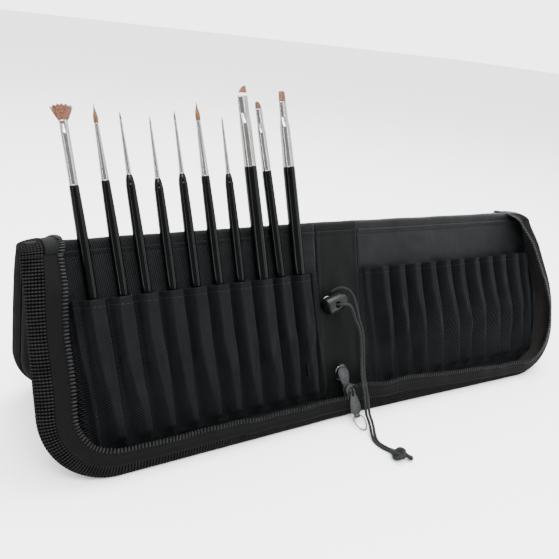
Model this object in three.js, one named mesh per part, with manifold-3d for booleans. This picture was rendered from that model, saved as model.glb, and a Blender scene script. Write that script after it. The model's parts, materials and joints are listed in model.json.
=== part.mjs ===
// Zip-around easel case for brushes, folded back into a tent, with ten nail art brushes in its left pockets.
// Millimetres, +Z up, front toward -Y. The origin is the centre of the footprint, on the table.
import * as THREE from 'three';
import { mergeVertices } from 'three/addons/utils/BufferGeometryUtils.js';
import Module from 'manifold-3d';

const wasm = await Module();
wasm.setup();

// ---- driving dimensions ----------------------------------------------------------------------
const DEG = Math.PI / 180;
const HALF_ANGLE = 19 * DEG; // each half of the tent leans this far from the vertical
const APEX_HEIGHT = 126.5; // the line where the two lining planes meet
const WING_BEND = 1.3 * DEG; // both covers stand this far forward of the spine
const SPINE_HALF = 17.5; // half the spine's width, to the cover hinges
const HALF_WIDTH = 199.4; // to the outer edge of the cover boards
const CORNER = 36; // radius of the covers' outer corners
const BOARD = 3; // padded cover thickness
const FOLD_GAP = 1.8; // each half stops this far from the crest line
const HINGE_GAP = 1.6; // cover edge to hinge line
const SPINE_GAP = 0.5; // spine edge to hinge line
const CLEAR = 0.3; // between touching pieces

const RIM_TOP = 17.2; // height of the zipper above the lining
const RIM_THICK = 1.5;
const RIM_BASE = { offset: 1.1, depth: 1.2 }; // where each rim starts on the board's edge
const FOOT_LOW = 4; // the flat foot under each rim starts and ends at these heights
const FOOT_HIGH = 9.5;
const FOOT_OFFSET = 3.1; // of the foot's start, outside the board's edge
const RIM_START = { left: SPINE_HALF + 31, right: SPINE_HALF + 21 }; // the rims stop short of the spine
const TEETH_WIDTH = 3.4;
const TEETH_THICK = 1.5;

const MOUTH = 37.4; // pocket mouths, measured down the slant from the apex
const POCKET_END = 122;
const POCKET_BELLY = 10;
const POCKET_SHEET = 1;
const POCKET_PITCH = 14.7;
const FIRST_POCKET = 34.4; // centre of the pocket next to the spine
const POCKET_LEAN = 3.6 * DEG; // the sewn channels lean this way, feet to the right
const ROW_INNER = SPINE_HALF + 3.5;
const ROW_OUTER = 181.5;
const TAIL_DEPTH = 70; // handle length below the pocket mouth

const LOCK = { x: -9.3, down: 59.8, out: 7.2, tilt: 16.5 * DEG, radius: 6, length: 14, bore: 4.2 };
const SLIDER = { x: -3.5, down: 119.5, out: 13.2, width: 8, length: 9, thick: 4.2 };
const STRAND = 0.95; // radius of one strand of the drawcord
const CORD_SIDES = 8;

const SLOPE = Math.tan(HALF_ANGLE);
const FOOT_RISE = (FOOT_HIGH - FOOT_LOW) * SLOPE; // keeps the foot level with the table
const BULGE = FOOT_OFFSET + FOOT_RISE;
const PANEL_END = (APEX_HEIGHT + FOOT_LOW * Math.sin(HALF_ANGLE)) / Math.cos(HALF_ANGLE) - FOOT_OFFSET;

// ---- materials -------------------------------------------------------------------------------
const finish = (color, roughness, metalness = 0) => ({ color, roughness, metalness });
const LINING = finish(0x1d1f21, 0.75);
const WEBBING = finish(0x222426, 0.9);
const COIL = finish(0x151617, 0.4);
const POCKET = finish(0x191b1d, 0.8);
const LACQUER = finish(0x060607, 0.12);
const NICKEL = finish(0xb9bbbd, 0.2, 1);
const HAIR = finish(0x8a4a26, 0.6);
const PLASTIC = finish(0x2c2e2e, 0.35);
const ENAMEL = finish(0x3a3b3d, 0.4, 0.6);
const STEEL = finish(0x6b6e70, 0.3, 1);
const CORD = finish(0x1a1d1b, 0.85);

// ---- shaping tools ---------------------------------------------------------------------------
const V = (x, y, z) => new THREE.Vector3(x, y, z);
const lerp = THREE.MathUtils.lerp;
const ease = THREE.MathUtils.smoothstep;

// Closed body through a row of rings that share one outline; `outline` is that outline laid flat.
function skin(rings, outline) {
  const n = outline.length;
  const points = rings.flat();
  const faces = [];
  for (let r = 0; r + 1 < rings.length; r++) {
    for (let i = 0; i < n; i++) {
      const a = r * n + i;
      const b = r * n + ((i + 1) % n);
      faces.push([a, b, b + n], [a, b + n, a + n]);
    }
  }
  const last = (rings.length - 1) * n;
  for (const [a, b, c] of THREE.ShapeUtils.triangulateShape(outline, [])) {
    faces.push([a, c, b], [last + a, last + b, last + c]);
  }
  const volume = faces.reduce((sum, [a, b, c]) => sum + points[a].dot(points[b].clone().cross(points[c])), 0);
  const geometry = new THREE.BufferGeometry().setFromPoints(points);
  geometry.setIndex(faces.flatMap(([a, b, c]) => (volume > 0 ? [a, b, c] : [a, c, b])));
  return geometry;
}

function circle(sides, radiusX = 1, radiusY = radiusX) {
  const outline = [];
  for (let i = 0; i < sides; i++) {
    const angle = (2 * Math.PI * i) / sides;
    outline.push(new THREE.Vector2(radiusX * Math.cos(angle), radiusY * Math.sin(angle)));
  }
  return outline;
}

// Body along +Y through oval stations [height, half width, half depth, tilt of the ring].
function ovals(stations, sides = 10) {
  const unit = circle(sides);
  const rings = stations.map(([y, rx, rz, tilt = 0]) => unit.map((p) => V(p.x * rx, y + tilt * p.x * rx, p.y * rz)));
  return skin(rings, unit);
}

function toSolid(geometry) {
  const bare = geometry.clone();
  bare.deleteAttribute('normal');
  bare.deleteAttribute('uv');
  const merged = mergeVertices(bare, 1e-4);
  const mesh = new wasm.Mesh({
    numProp: 3,
    vertProperties: Float32Array.from(merged.attributes.position.array),
    triVerts: Uint32Array.from(merged.index.array),
  });
  return new wasm.Manifold(mesh);
}

function toGeometry(solid) {
  const mesh = solid.getMesh();
  const geometry = new THREE.BufferGeometry();
  geometry.setAttribute('position', new THREE.BufferAttribute(mesh.vertProperties, 3));
  geometry.setIndex(new THREE.BufferAttribute(mesh.triVerts, 1));
  return geometry;
}

function join(...shapes) {
  return toGeometry(shapes.map(toSolid).reduce((sum, next) => sum.add(next)));
}

function cut(shape, ...tools) {
  return toGeometry(tools.map(toSolid).reduce((rest, tool) => rest.subtract(tool), toSolid(shape)));
}

function box(width, depth, height, x = 0, y = 0, z = 0) {
  return new THREE.BoxGeometry(width, depth, height).translate(x, y, z);
}

// Cylinder along the given axis, starting at `start` and `length` long.
function rod(radius, length, axis, start, sides = 16) {
  const geometry = new THREE.CylinderGeometry(radius, radius, length, sides).translate(0, length / 2, 0);
  const turn = new THREE.Quaternion().setFromUnitVectors(V(0, 1, 0), axis.clone().normalize());
  return geometry.applyQuaternion(turn).translate(start.x, start.y, start.z);
}

function tube(points, radius, steps, sides = CORD_SIDES, closed = false) {
  const path = new THREE.CatmullRomCurve3(points, closed);
  const shape = new THREE.Shape(circle(sides, radius));
  return new THREE.ExtrudeGeometry(shape, { steps, extrudePath: path, bevelEnabled: false });
}

function named(name, geometry, look) {
  const mesh = new THREE.Mesh(geometry, new THREE.MeshStandardMaterial(look));
  mesh.name = name;
  return mesh;
}

// ---- frames ----------------------------------------------------------------------------------
// Each half has a frame with its origin on the apex line, y up the slant and z out of the lining.
const model = new THREE.Group();

function halfFrame(parent, isBack, offset = 0) {
  const turned = new THREE.Group();
  turned.position.set(-offset, 0, APEX_HEIGHT);
  turned.rotation.z = isBack ? Math.PI : 0;
  const frame = new THREE.Group();
  frame.rotation.x = Math.PI / 2 - HALF_ANGLE;
  turned.add(frame);
  parent.add(turned);
  return frame;
}

function wingFrames(side) {
  const wing = new THREE.Group();
  wing.position.x = side * SPINE_HALF;
  wing.rotation.z = -side * WING_BEND;
  model.add(wing);
  return [false, true].map((isBack) => halfFrame(wing, isBack, side * SPINE_HALF));
}

const spineFront = halfFrame(model, false);
const spineBack = halfFrame(model, true);
const [leftFront, leftBack] = wingFrames(-1);
const [rightFront, rightBack] = wingFrames(1);

// ---- boards ----------------------------------------------------------------------------------
const CREST_TAPER = 0.2; // how fast the rims thicken below the crest
const SHOULDER = 8; // the right cover's edge draws in by this much at the crest
const shoulder = (drawIn, down) => drawIn * (1 - ease(down, 0, 55));

// The padding starts below a thin strip of bare fabric that makes the crest.
function boardThickness(down) {
  if (down < 12) return lerp(0.3, 0.9, (down - FOLD_GAP) / (12 - FOLD_GAP));
  return lerp(0.9, BOARD, ease(down, 12, 18));
}

function edgeAt(down, drawIn) {
  const below = Math.max(0, down - (PANEL_END - CORNER));
  return HALF_WIDTH - shoulder(drawIn, down) - CORNER + Math.sqrt(Math.max(0, CORNER ** 2 - below ** 2));
}

function board(inner, outerAt) {
  const cornerTop = PANEL_END - CORNER;
  const downs = [FOLD_GAP, 12, 15, 18, 40, 70, cornerTop];
  for (let i = 1; i <= 6; i++) downs.push(cornerTop + CORNER * Math.sin((i * Math.PI) / 12));
  const rings = downs.map((down) => {
    const thick = boardThickness(down);
    const outer = outerAt(down);
    return [V(inner, -down, -thick), V(outer, -down, -thick), V(outer, -down, 0), V(inner, -down, 0)];
  });
  const flat = [[0, 0], [1, 0], [1, 1], [0, 1]].map(([x, y]) => new THREE.Vector2(x, y));
  return skin(rings, flat);
}

function mirrored(geometry, direction) {
  if (direction > 0) return geometry;
  const flipped = geometry.clone().scale(-1, 1, 1);
  const index = flipped.index.array;
  for (let i = 0; i < index.length; i += 3) [index[i], index[i + 1]] = [index[i + 1], index[i]];
  return flipped;
}

function cover(direction, drawIn) {
  return mirrored(board(SPINE_HALF + HINGE_GAP, (down) => edgeAt(down, drawIn)), direction);
}

// ---- rims: webbing and zipper tape that stand round the covers ----------------------------------
function rimOutline(lean, lift, base = RIM_BASE.depth) {
  const top = RIM_TOP * lift;
  const outer = [
    [RIM_BASE.offset, -base],
    [FOOT_OFFSET - 1.1, 0.8],
    [FOOT_OFFSET, FOOT_LOW * lift],
    [BULGE, FOOT_HIGH * lift],
    [BULGE - 0.2 * lean, top - 3.9 * lift],
    [BULGE - 0.55 * lean, top - 1.5 * lift],
    [BULGE - lean, top - 0.5],
  ].map(([x, y]) => new THREE.Vector2(x, y));
  const inner = outer.map((point, i) => {
    const before = outer[Math.max(0, i - 1)];
    const after = outer[Math.min(outer.length - 1, i + 1)];
    const along = after.clone().sub(before).normalize();
    return point.clone().add(new THREE.Vector2(-along.y, along.x).multiplyScalar(RIM_THICK));
  });
  inner[0].set(CLEAR, -base);
  inner[1].set(CLEAR, 0.8);
  return outer.concat(inner.reverse());
}

function teethOutline(lean, lift) {
  const edge = BULGE - lean - 0.4;
  const top = RIM_TOP * lift;
  const half = TEETH_THICK / 2;
  const corners = [[0, half], [0.8, 0], [TEETH_WIDTH - 0.8, 0], [TEETH_WIDTH, half]];
  const low = [[TEETH_WIDTH - 0.8, TEETH_THICK], [0.8, TEETH_THICK]];
  return corners.concat(low).map(([x, y]) => new THREE.Vector2(edge - x, top - y));
}

// Stations from the crest, down the outer side, round the corner and along the bottom.
function rimStations(drawIn, start) {
  const cornerTop = PANEL_END - CORNER;
  const stations = [2, 8, 16, 30, 48, 66, 84].map((down) => ({
    point: V(HALF_WIDTH - shoulder(drawIn, down), -down, 0),
    outward: V(1, 0, 0),
    side: down / cornerTop,
    bottom: 0,
  }));
  const steps = 8;
  for (let i = 0; i <= steps; i++) {
    const angle = (i / steps) * (Math.PI / 2);
    const outward = V(Math.cos(angle), -Math.sin(angle), 0);
    const point = V(HALF_WIDTH - CORNER, -cornerTop, 0).addScaledVector(outward, CORNER);
    stations.push({ point, outward, side: 1, bottom: 0.4 * (i / steps) });
  }
  for (const part of [0.25, 0.5, 0.75, 1]) {
    const x = lerp(HALF_WIDTH - CORNER, start, part);
    stations.push({ point: V(x, -PANEL_END, 0), outward: V(0, -1, 0), side: 1, bottom: lerp(0.4, 1, part) });
  }
  return stations;
}

function sweepRim({ direction, drawIn, start, leans }, outlineOf) {
  const rings = rimStations(drawIn, start).map(({ point, outward, side, bottom }) => {
    const lean = side < 1 ? lerp(leans.crest, leans.side, side) : lerp(leans.side, leans.bottom, bottom);
    const lift = lerp(0.4, 1, ease(-point.y, 0, 34));
    const base = Math.min(RIM_BASE.depth, CREST_TAPER * -point.y);
    return outlineOf(lean, lift, base).map((p) => point.clone().addScaledVector(outward, p.x).setZ(p.y));
  });
  return mirrored(skin(rings, outlineOf(leans.side, 1)), direction);
}

// ---- pocket rows -----------------------------------------------------------------------------
// Each pocket has its middle at x at the mouth and leans by `lean`; seams lie half way between two.
function seamsOf(pockets) {
  const first = pockets[0];
  const last = pockets.at(-1);
  const between = pockets.slice(1).map((pocket, i) => ({
    x: (pocket.x + pockets[i].x) / 2,
    slope: Math.tan((pocket.lean + pockets[i].lean) / 2),
  }));
  const start = { x: first.x - POCKET_PITCH / 2, slope: Math.tan(first.lean) };
  const end = { x: last.x + POCKET_PITCH / 2, slope: Math.tan(last.lean) };
  return [start, ...between, end];
}

function pocketRow(pockets, inner, outer) {
  const seams = seamsOf(pockets);
  const samples = [{ x: inner, rise: 0, slope: 0 }];
  seams.slice(0, -1).forEach((seam, i) => {
    for (const t of [0, 0.06, 0.18, 0.34, 0.5, 0.66, 0.82, 0.94]) {
      const rise = (0.5 - 0.5 * Math.cos(2 * Math.PI * t)) ** 0.36;
      samples.push({ x: lerp(seam.x, seams[i + 1].x, t), rise, slope: lerp(seam.slope, seams[i + 1].slope, t) });
    }
  });
  samples.push({ ...seams.at(-1), rise: 0 }, { x: outer, rise: 0, slope: 0 });
  const rings = [MOUTH, 75, 106, 114, POCKET_END].map((down) => {
    const belly = POCKET_BELLY * lerp(1, 0.8, ease(down, MOUTH, 107)) * (1 - ease(down, 106, POCKET_END - 1));
    const under = samples.map((s) => V(s.x + s.slope * (down - MOUTH), -down, CLEAR + belly * s.rise));
    const over = under.map((p) => p.clone().add(V(0, 0, POCKET_SHEET)));
    return under.concat(over.reverse());
  });
  return skin(rings, rings[0].map((p) => new THREE.Vector2(p.x, p.z)));
}

// ---- brushes ---------------------------------------------------------------------------------
// x: where the handle enters its pocket. lean: degrees from the slant. tip, hair, top: heights above
// the apex line of the hair's tip, its root and the handle's end. grip, neck: handle radii.
// root: ferrule half width and half depth at the hair. head: how the hair is cut.
const BRUSHES = [
  { x: -168.2, lean: 4.1, tip: 65.4, hair: 58.3, top: 24.2, grip: 3.1, neck: 2.6, root: [2.6, 0.9], head: 'fan' },
  { x: -151.2, lean: 4.0, tip: 67.1, hair: 57.2, top: 26.4, grip: 3.1, neck: 2.4, root: [1.2, 1.2], head: 'point' },
  { x: -137.4, lean: 4.1, tip: 63.4, hair: 59.2, top: 29.4, grip: 3.1, neck: 2.5, root: [0.7, 0.7], head: 'point' },
  { x: -122, lean: 3.3, tip: 61.8, hair: 56.9, top: 26.9, grip: 3.1, neck: 2.5, root: [0.7, 0.7], head: 'point' },
  { x: -107, lean: 3.2, tip: 65.3, hair: 59.8, top: 29.4, grip: 3.1, neck: 2.5, root: [0.9, 0.9], head: 'point' },
  { x: -92.2, lean: 3.4, tip: 70.7, hair: 59.9, top: 27.7, grip: 3.2, neck: 2.6, root: [1.4, 1.4], head: 'point' },
  { x: -77.2, lean: 3.0, tip: 62.9, hair: 59.1, top: 28.9, grip: 3.1, neck: 2.4, root: [0.7, 0.7], head: 'point' },
  { x: -61.8, lean: 3.2, tip: 81.7, hair: 75.3, top: 32.9, grip: 4.2, neck: 4.0, root: [3.0, 1.3], head: 'angle' },
  { x: -48.3, lean: 4.6, tip: 73.2, hair: 68.4, top: 30.1, grip: 3.3, neck: 3.0, root: [1.9, 0.9], head: 'angle' },
  { x: -34.2, lean: 2.8, tip: 79.6, hair: 73.2, top: 32.3, grip: 4.1, neck: 3.9, root: [2.3, 1.2], head: 'flat' },
];
const HEADS = {
  point: (root, size) => [[0, root, root], [0.35 * size, 0.95 * root, 0.95 * root], [size, 0.12, 0.12]],
  flat: (root, size, depth) => [[0, root, depth], [0.9 * size, 1.05 * root, 0.5 * depth], [size, root, 0.3]],
  angle: (root, size, depth) => [[0, root, depth], [0.45 * size, root, 0.7 * depth], [size - 1.6, root, 0.3, -0.5]],
  fan: (root, size, depth) => [[0, root, depth], [0.5 * size, 1.7 * root, 0.5 * depth], [size, 2.5 * root, 0.3]],
};

function addBrush(brush, number) {
  const label = `brush_${String(number).padStart(2, '0')}`;
  const frame = new THREE.Group();
  frame.position.set(brush.x, -MOUTH, brush.grip + 0.6);
  frame.rotation.z = brush.lean * DEG;
  leftFront.add(frame);
  const top = MOUTH + brush.top;
  const root = MOUTH + brush.hair;
  const { grip, neck } = brush;
  const handle = ovals([
    [-TAIL_DEPTH, 0.5, 0.5],
    [-TAIL_DEPTH + 1.2, 1.3, 1.3],
    [-40, 0.78 * grip, 0.78 * grip],
    [0.35 * top, grip, grip],
    [top - 9, lerp(neck, grip, 0.3), lerp(neck, grip, 0.3)],
    [top - 0.6, neck, neck],
    [top, neck - 0.4, neck - 0.4],
  ]);
  const [half, depth] = brush.root;
  const start = top + CLEAR;
  const length = root - start;
  const ferrule = ovals([
    [start, neck - 0.25, neck - 0.25],
    [start + 0.2 * length, lerp(neck, half, 0.12) - 0.2, lerp(neck, depth, 0.12) - 0.2],
    [start + 0.7 * length, lerp(neck, half, 0.72), lerp(neck, depth, 0.72)],
    [root - 1, half + 0.15, depth + 0.15],
    [root, half, depth],
  ]);
  const size = brush.tip - brush.hair - CLEAR;
  const hair = ovals(HEADS[brush.head](half * 0.92, size, depth * 0.9)).translate(0, root + CLEAR, 0);
  frame.add(named(`${label}_handle`, handle, LACQUER));
  frame.add(named(`${label}_ferrule`, ferrule, NICKEL));
  frame.add(named(`${label}_bristles`, hair, HAIR));
}

// ---- spine -----------------------------------------------------------------------------------
function spineFoot() {
  const outline = [
    [-1, -RIM_BASE.depth],
    [RIM_BASE.offset, -RIM_BASE.depth],
    [FOOT_OFFSET - 1.1, 0.8],
    [FOOT_OFFSET, FOOT_LOW],
    [BULGE, FOOT_HIGH],
    [BULGE - RIM_THICK, FOOT_HIGH],
    [FOOT_OFFSET - RIM_THICK, FOOT_LOW],
    [FOOT_OFFSET - 1.1 - RIM_THICK, 0],
    [-1, 0],
  ].map(([x, y]) => new THREE.Vector2(x, y));
  const half = SPINE_HALF - SPINE_GAP;
  return skin([-half, half].map((x) => outline.map((p) => V(x, -PANEL_END - p.x, p.y))), outline);
}

const EYELET = { x: LOCK.x, down: LOCK.down, hole: 2.6, barrel: 3.4, flange: 4.8, plate: 0.6 };

function spinePanel() {
  const half = SPINE_HALF - SPINE_GAP;
  const panel = join(board(-half, () => half), spineFoot());
  const hole = rod(EYELET.barrel + CLEAR, 4 * BOARD, V(0, 0, 1), V(EYELET.x, -EYELET.down, -2 * BOARD), 20);
  return cut(panel, hole);
}

function eyelet() {
  const { hole, barrel, flange, plate } = EYELET;
  const outer = CLEAR + plate;
  const profile = [
    [hole, outer],
    [flange, outer],
    [flange, CLEAR],
    [barrel, CLEAR],
    [barrel, -BOARD - CLEAR],
    [flange, -BOARD - CLEAR],
    [flange, -BOARD - outer],
    [hole, -BOARD - outer],
    [hole, outer],
  ].map(([x, y]) => new THREE.Vector2(x, y));
  return new THREE.LatheGeometry(profile.reverse(), 20).rotateX(Math.PI / 2).translate(EYELET.x, -EYELET.down, 0);
}

// ---- cord lock: its axis is local x, turned in the plane of the spine ----------------------------
const PLUNGER = { radius: LOCK.bore - CLEAR, length: 10.4, out: 3.2 };
const CORD_HOLE = 2;
const FLOOR_THICK = 1.6;

function lockFrame() {
  const frame = new THREE.Group();
  frame.position.set(LOCK.x, -LOCK.down, LOCK.out);
  frame.rotation.z = LOCK.tilt;
  spineFront.add(frame);
  return frame;
}

function lockBarrel() {
  const start = -LOCK.length / 2;
  const body = rod(LOCK.radius, LOCK.length, V(1, 0, 0), V(start, 0, 0), 28);
  const bore = rod(LOCK.bore, LOCK.length, V(1, 0, 0), V(start + FLOOR_THICK, 0, 0), 24);
  const cross = rod(CORD_HOLE, 4 * LOCK.radius, V(0, 0, 1), V(0, 0, -2 * LOCK.radius));
  return cut(body, bore, cross);
}

function lockPlunger() {
  const end = LOCK.length / 2 + PLUNGER.out;
  const body = rod(PLUNGER.radius, PLUNGER.length, V(1, 0, 0), V(end - PLUNGER.length, 0, 0), 24);
  const reach = 4 * LOCK.radius;
  const slot = [0, PLUNGER.out].map((x) => rod(CORD_HOLE, reach, V(0, 0, 1), V(x, 0, -reach / 2)));
  const middle = box(PLUNGER.out, 2 * CORD_HOLE, reach, PLUNGER.out / 2);
  return cut(body, ...slot, middle);
}

function lockSpring() {
  const turns = 2.5;
  const radius = 2.7;
  const wire = 0.35;
  const start = -LOCK.length / 2 + FLOOR_THICK + wire + CLEAR;
  const end = LOCK.length / 2 + PLUNGER.out - PLUNGER.length - wire - CLEAR;
  const points = [];
  for (let i = 0; i <= turns * 12; i++) {
    const angle = (i / 12) * 2 * Math.PI;
    points.push(V(lerp(start, end, i / (turns * 12)), radius * Math.cos(angle), radius * Math.sin(angle)));
  }
  return tube(points, wire, turns * 12, 6);
}

// ---- zipper slider and its two pulls -----------------------------------------------------------
const TAB = { length: 15.5, thick: 1.4, wide: 3.9, eye: 1.05, neck: 1.8 };
const BRIDGE = { wire: 0.55, radius: 2.2, leg: 1.1 }; // each bridge is a half circle on two legs
const LOOP = { wire: 0.45, length: 11, half: 4.2 };
const KNUCKLE = { radius: 1.4, bore: 0.78, half: 1.7 }; // at the tab's end, round the loop's straight side

// Two plates on a post, with a bridge on each face; y is along the slider, z is out of its face.
function slider() {
  const { width, length, thick } = SLIDER;
  const plate = 1;
  const shift = (thick - plate) / 2;
  const shapes = [box(width, length, plate, 0, 0, shift), box(width, length, plate, 0, 0, -shift)];
  shapes.push(box(2.2, 3.4, thick, 0, length / 2 - 2.2, 0));
  for (const face of [1, -1]) {
    const base = thick / 2 + BRIDGE.leg;
    const arch = [V(0, -BRIDGE.radius, face * (thick / 2 - 0.5))];
    for (let i = 0; i <= 8; i++) {
      const angle = Math.PI * (1 - i / 8);
      const rise = base + BRIDGE.radius * Math.sin(angle);
      arch.push(V(0, BRIDGE.radius * Math.cos(angle), face * rise));
    }
    arch.push(V(0, BRIDGE.radius, face * (thick / 2 - 0.5)));
    shapes.push(tube(arch, BRIDGE.wire, 14, 6));
  }
  return join(...shapes);
}

// Leaf-shaped tab along +Y from its eye, with a knuckle for the wire loop at its wide end.
function pullTab() {
  const { length, thick, wide, eye, neck } = TAB;
  const end = length - KNUCKLE.radius;
  const shape = new THREE.Shape();
  shape.moveTo(-neck, 0);
  shape.absarc(0, 0, neck, Math.PI, 2 * Math.PI);
  shape.bezierCurveTo(wide, length * 0.35, wide, length * 0.7, KNUCKLE.half, end);
  shape.lineTo(-KNUCKLE.half, end);
  shape.bezierCurveTo(-wide, length * 0.7, -wide, length * 0.35, -neck, 0);
  shape.holes.push(new THREE.Path().absellipse(0, 0, eye, eye, 0, 2 * Math.PI, true));
  const options = { depth: thick, bevelEnabled: false, curveSegments: 6 };
  const leaf = new THREE.ExtrudeGeometry(shape, options).translate(0, 0, -thick / 2);
  const start = V(-KNUCKLE.half, end, 0);
  const barrel = rod(KNUCKLE.radius, 2 * KNUCKLE.half, V(1, 0, 0), start, 12);
  const bore = rod(KNUCKLE.bore, 4 * KNUCKLE.half, V(1, 0, 0), start.clone().setX(-2 * KNUCKLE.half), 10);
  return cut(join(leaf, barrel), bore).translate(0, BRIDGE.radius, 0);
}

// Wire teardrop; its straight side is the hinge at the origin, and y runs to its far end.
function pullLoop() {
  const { wire, length, half } = LOOP;
  const side = [[1.1, 0], [2.3, 0.05], [0.88 * half, 1.4], [half, 4], [0.88 * half, 7.2], [0.5 * half, 9.8]];
  const right = side.map(([x, y]) => V(x, y, 0));
  const left = side.map(([x, y]) => V(-x, y, 0)).reverse();
  return tube([V(0, 0, 0), ...right, V(0, length, 0), ...left], wire, 22, 6, true);
}

// ---- drawcord ----------------------------------------------------------------------------------
// Each free strand: a list of [x, y, z] in the model's first frame, its origin under the crest.
const STRAND_A = [
  [-7.3, -19, 77.4], [-4, -20.2, 80.1], [-1.5, -21.9, 81.4], [2.5, -24.2, 80.7], [5.2, -26.9, 77.6],
  [6.4, -29.7, 73.3], [7.3, -32.2, 67.8], [8.4, -34.2, 62], [10.6, -35.9, 56], [12.4, -37.1, 49.4], [13.2, -38.6, 42.1],
  [13, -40.6, 36.1], [11.1, -45.3, 28.7], [8.7, -50.8, 24.2], [6.6, -55.6, 21.2], [5.6, -60.2, 16.6], [4.7, -64.2, 10.6],
  [2.7, -68.8, 8.2], [1.3, -72.8, 7.2], [-0.1, -77.2, 5.2], [-2.1, -82.2, 2.6], [-3.3, -87, 1.2], [-2.8, -91.6, 1.2],
  [-1.1, -95.8, 1.2], [0.4, -99.8, 2],
];
const STRAND_B = [
  [-9.3, -28, 72.9], [-9.3, -32.2, 74.4], [-8, -34.1, 75.4], [-5.5, -34.7, 75.5], [-2.5, -34.4, 74.6], [0, -34, 72.1],
  [2.4, -34.2, 68.3], [5, -34.8, 62.4], [8.4, -36, 56], [10.2, -37.2, 49.4], [11, -38.7, 42.1], [10.8, -40.8, 36.1],
  [8.9, -45.5, 28.7], [6.5, -51, 24.2], [4.4, -55.8, 21.2], [3.4, -60, 16.2], [2.6, -63.6, 10.4], [0.6, -68, 7.9],
  [-0.8, -72, 7], [-2.2, -76.4, 5.2], [-4.2, -81.6, 2.6], [-5.4, -87, 1.2], [-4.8, -92.6, 1.2], [-2.9, -97.2, 1.2],
  [-1.4, -100.6, 2],
];
const KNOT_AT = [-0.6, -104.6, 3.5];
const INNER_CORD = [[-9.3, -20, 70.2], [-9.3, -15.2, 68.5], [-9.3, 0, 67.2], [-9.3, 15.2, 68.5], [-9.3, 23, 71.2]];

function cordTube(list, radius, steps) {
  return tube(list.map(([x, y, z]) => V(x, y, z)), radius, steps);
}

function knot() {
  const body = new THREE.SphereGeometry(3.1, 10, 7).scale(1.25, 1, 1);
  const second = new THREE.SphereGeometry(2.7, 10, 7).scale(0.9, 1.25, 1).translate(2.2, -1.8, -0.2);
  const tails = [[5.5, -7.2], [2, -8.6]].map(([x, y]) => {
    return tube([V(0, 0, 0), V(0.5 * x, 0.5 * y, -1), V(x, y, -1.9)], STRAND, 6);
  });
  return join(body, second, ...tails).translate(...KNOT_AT);
}

// ---- assembly ----------------------------------------------------------------------------------
const leftPockets = BRUSHES.map((brush) => ({ x: brush.x, lean: brush.lean * DEG }));
const rightPockets = BRUSHES.map((_, i) => ({ x: FIRST_POCKET + i * POCKET_PITCH, lean: POCKET_LEAN }));

const LEFT_LEANS = { crest: 15, side: 16.5, bottom: 12.5 };
const RIGHT_LEANS = { crest: 14, side: 3, bottom: 18 };
const BACK_LEANS = { crest: 14, side: 8, bottom: 10 };
const quarters = [
  { name: 'front_left', frame: leftFront, direction: -1, drawIn: 0, start: RIM_START.left, leans: LEFT_LEANS },
  { name: 'front_right', frame: rightFront, direction: 1, drawIn: SHOULDER, start: RIM_START.right, leans: RIGHT_LEANS },
  { name: 'back_left', frame: leftBack, direction: 1, drawIn: 0, start: RIM_START.right, leans: BACK_LEANS },
  { name: 'back_right', frame: rightBack, direction: -1, drawIn: SHOULDER, start: RIM_START.right, leans: BACK_LEANS },
];
for (const quarter of quarters) {
  const { name, frame, direction, drawIn } = quarter;
  frame.add(named(`${name}_cover`, cover(direction, drawIn), LINING));
  frame.add(named(`${name}_rim`, sweepRim(quarter, rimOutline), WEBBING));
  frame.add(named(`${name}_zipper_teeth`, sweepRim(quarter, teethOutline), COIL));
}
spineFront.add(named('front_spine', spinePanel(), LINING));
spineBack.add(named('back_spine', mirrored(spinePanel(), -1), LINING));
spineFront.add(named('front_eyelet', eyelet(), STEEL));
spineBack.add(named('back_eyelet', mirrored(eyelet(), -1), STEEL));

leftFront.add(named('left_pocket_row', pocketRow(leftPockets, -ROW_OUTER, -ROW_INNER), POCKET));
rightFront.add(named('right_pocket_row', pocketRow(rightPockets, ROW_INNER, ROW_OUTER), POCKET));
BRUSHES.forEach((brush, i) => addBrush(brush, i + 1));

const lock = lockFrame();
lock.add(named('cord_lock_barrel', lockBarrel(), PLASTIC));
lock.add(named('cord_lock_plunger', lockPlunger(), PLASTIC));
lock.add(named('cord_lock_spring', lockSpring(), STEEL));

// The lower pull hangs from the slider's front face, the upper one stands up from its back face.
const carriage = new THREE.Group();
carriage.position.set(SLIDER.x, -SLIDER.down, SLIDER.out);
spineFront.add(carriage);
carriage.add(named('zipper_slider', slider(), ENAMEL));
const PIVOT = SLIDER.thick / 2 + BRIDGE.leg;
const pulls = [
  { name: 'lower', z: PIVOT, turn: [-0.26, 0, Math.PI], loopTurn: 0.55 },
  { name: 'upper', z: -PIVOT, turn: [-0.3, 0, 0], loopTurn: -2.51 },
];
for (const { name, z, turn, loopTurn } of pulls) {
  const hinge = new THREE.Group();
  hinge.position.set(0, 0, z);
  hinge.rotation.set(...turn);
  carriage.add(hinge);
  hinge.add(named(`${name}_pull_tab`, pullTab(), ENAMEL));
  const ring = new THREE.Group();
  ring.position.set(0, BRIDGE.radius + TAB.length - KNUCKLE.radius, 0);
  ring.rotation.x = loopTurn;
  hinge.add(ring);
  ring.add(named(`${name}_pull_loop`, pullLoop(), STEEL));
}

const stopper = new THREE.SphereGeometry(3.2, 10, 6).scale(1, 0.8, 1).translate(-9.3, 24, 71.6);
model.add(named('drawcord_inner', join(cordTube(INNER_CORD, 1.2, 16), stopper), CORD));
model.add(named('drawcord_strand_a', cordTube(STRAND_A, STRAND, 48), CORD));
model.add(named('drawcord_strand_b', cordTube(STRAND_B, STRAND, 48), CORD));
model.add(named('drawcord_knot', knot(), CORD));

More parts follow.
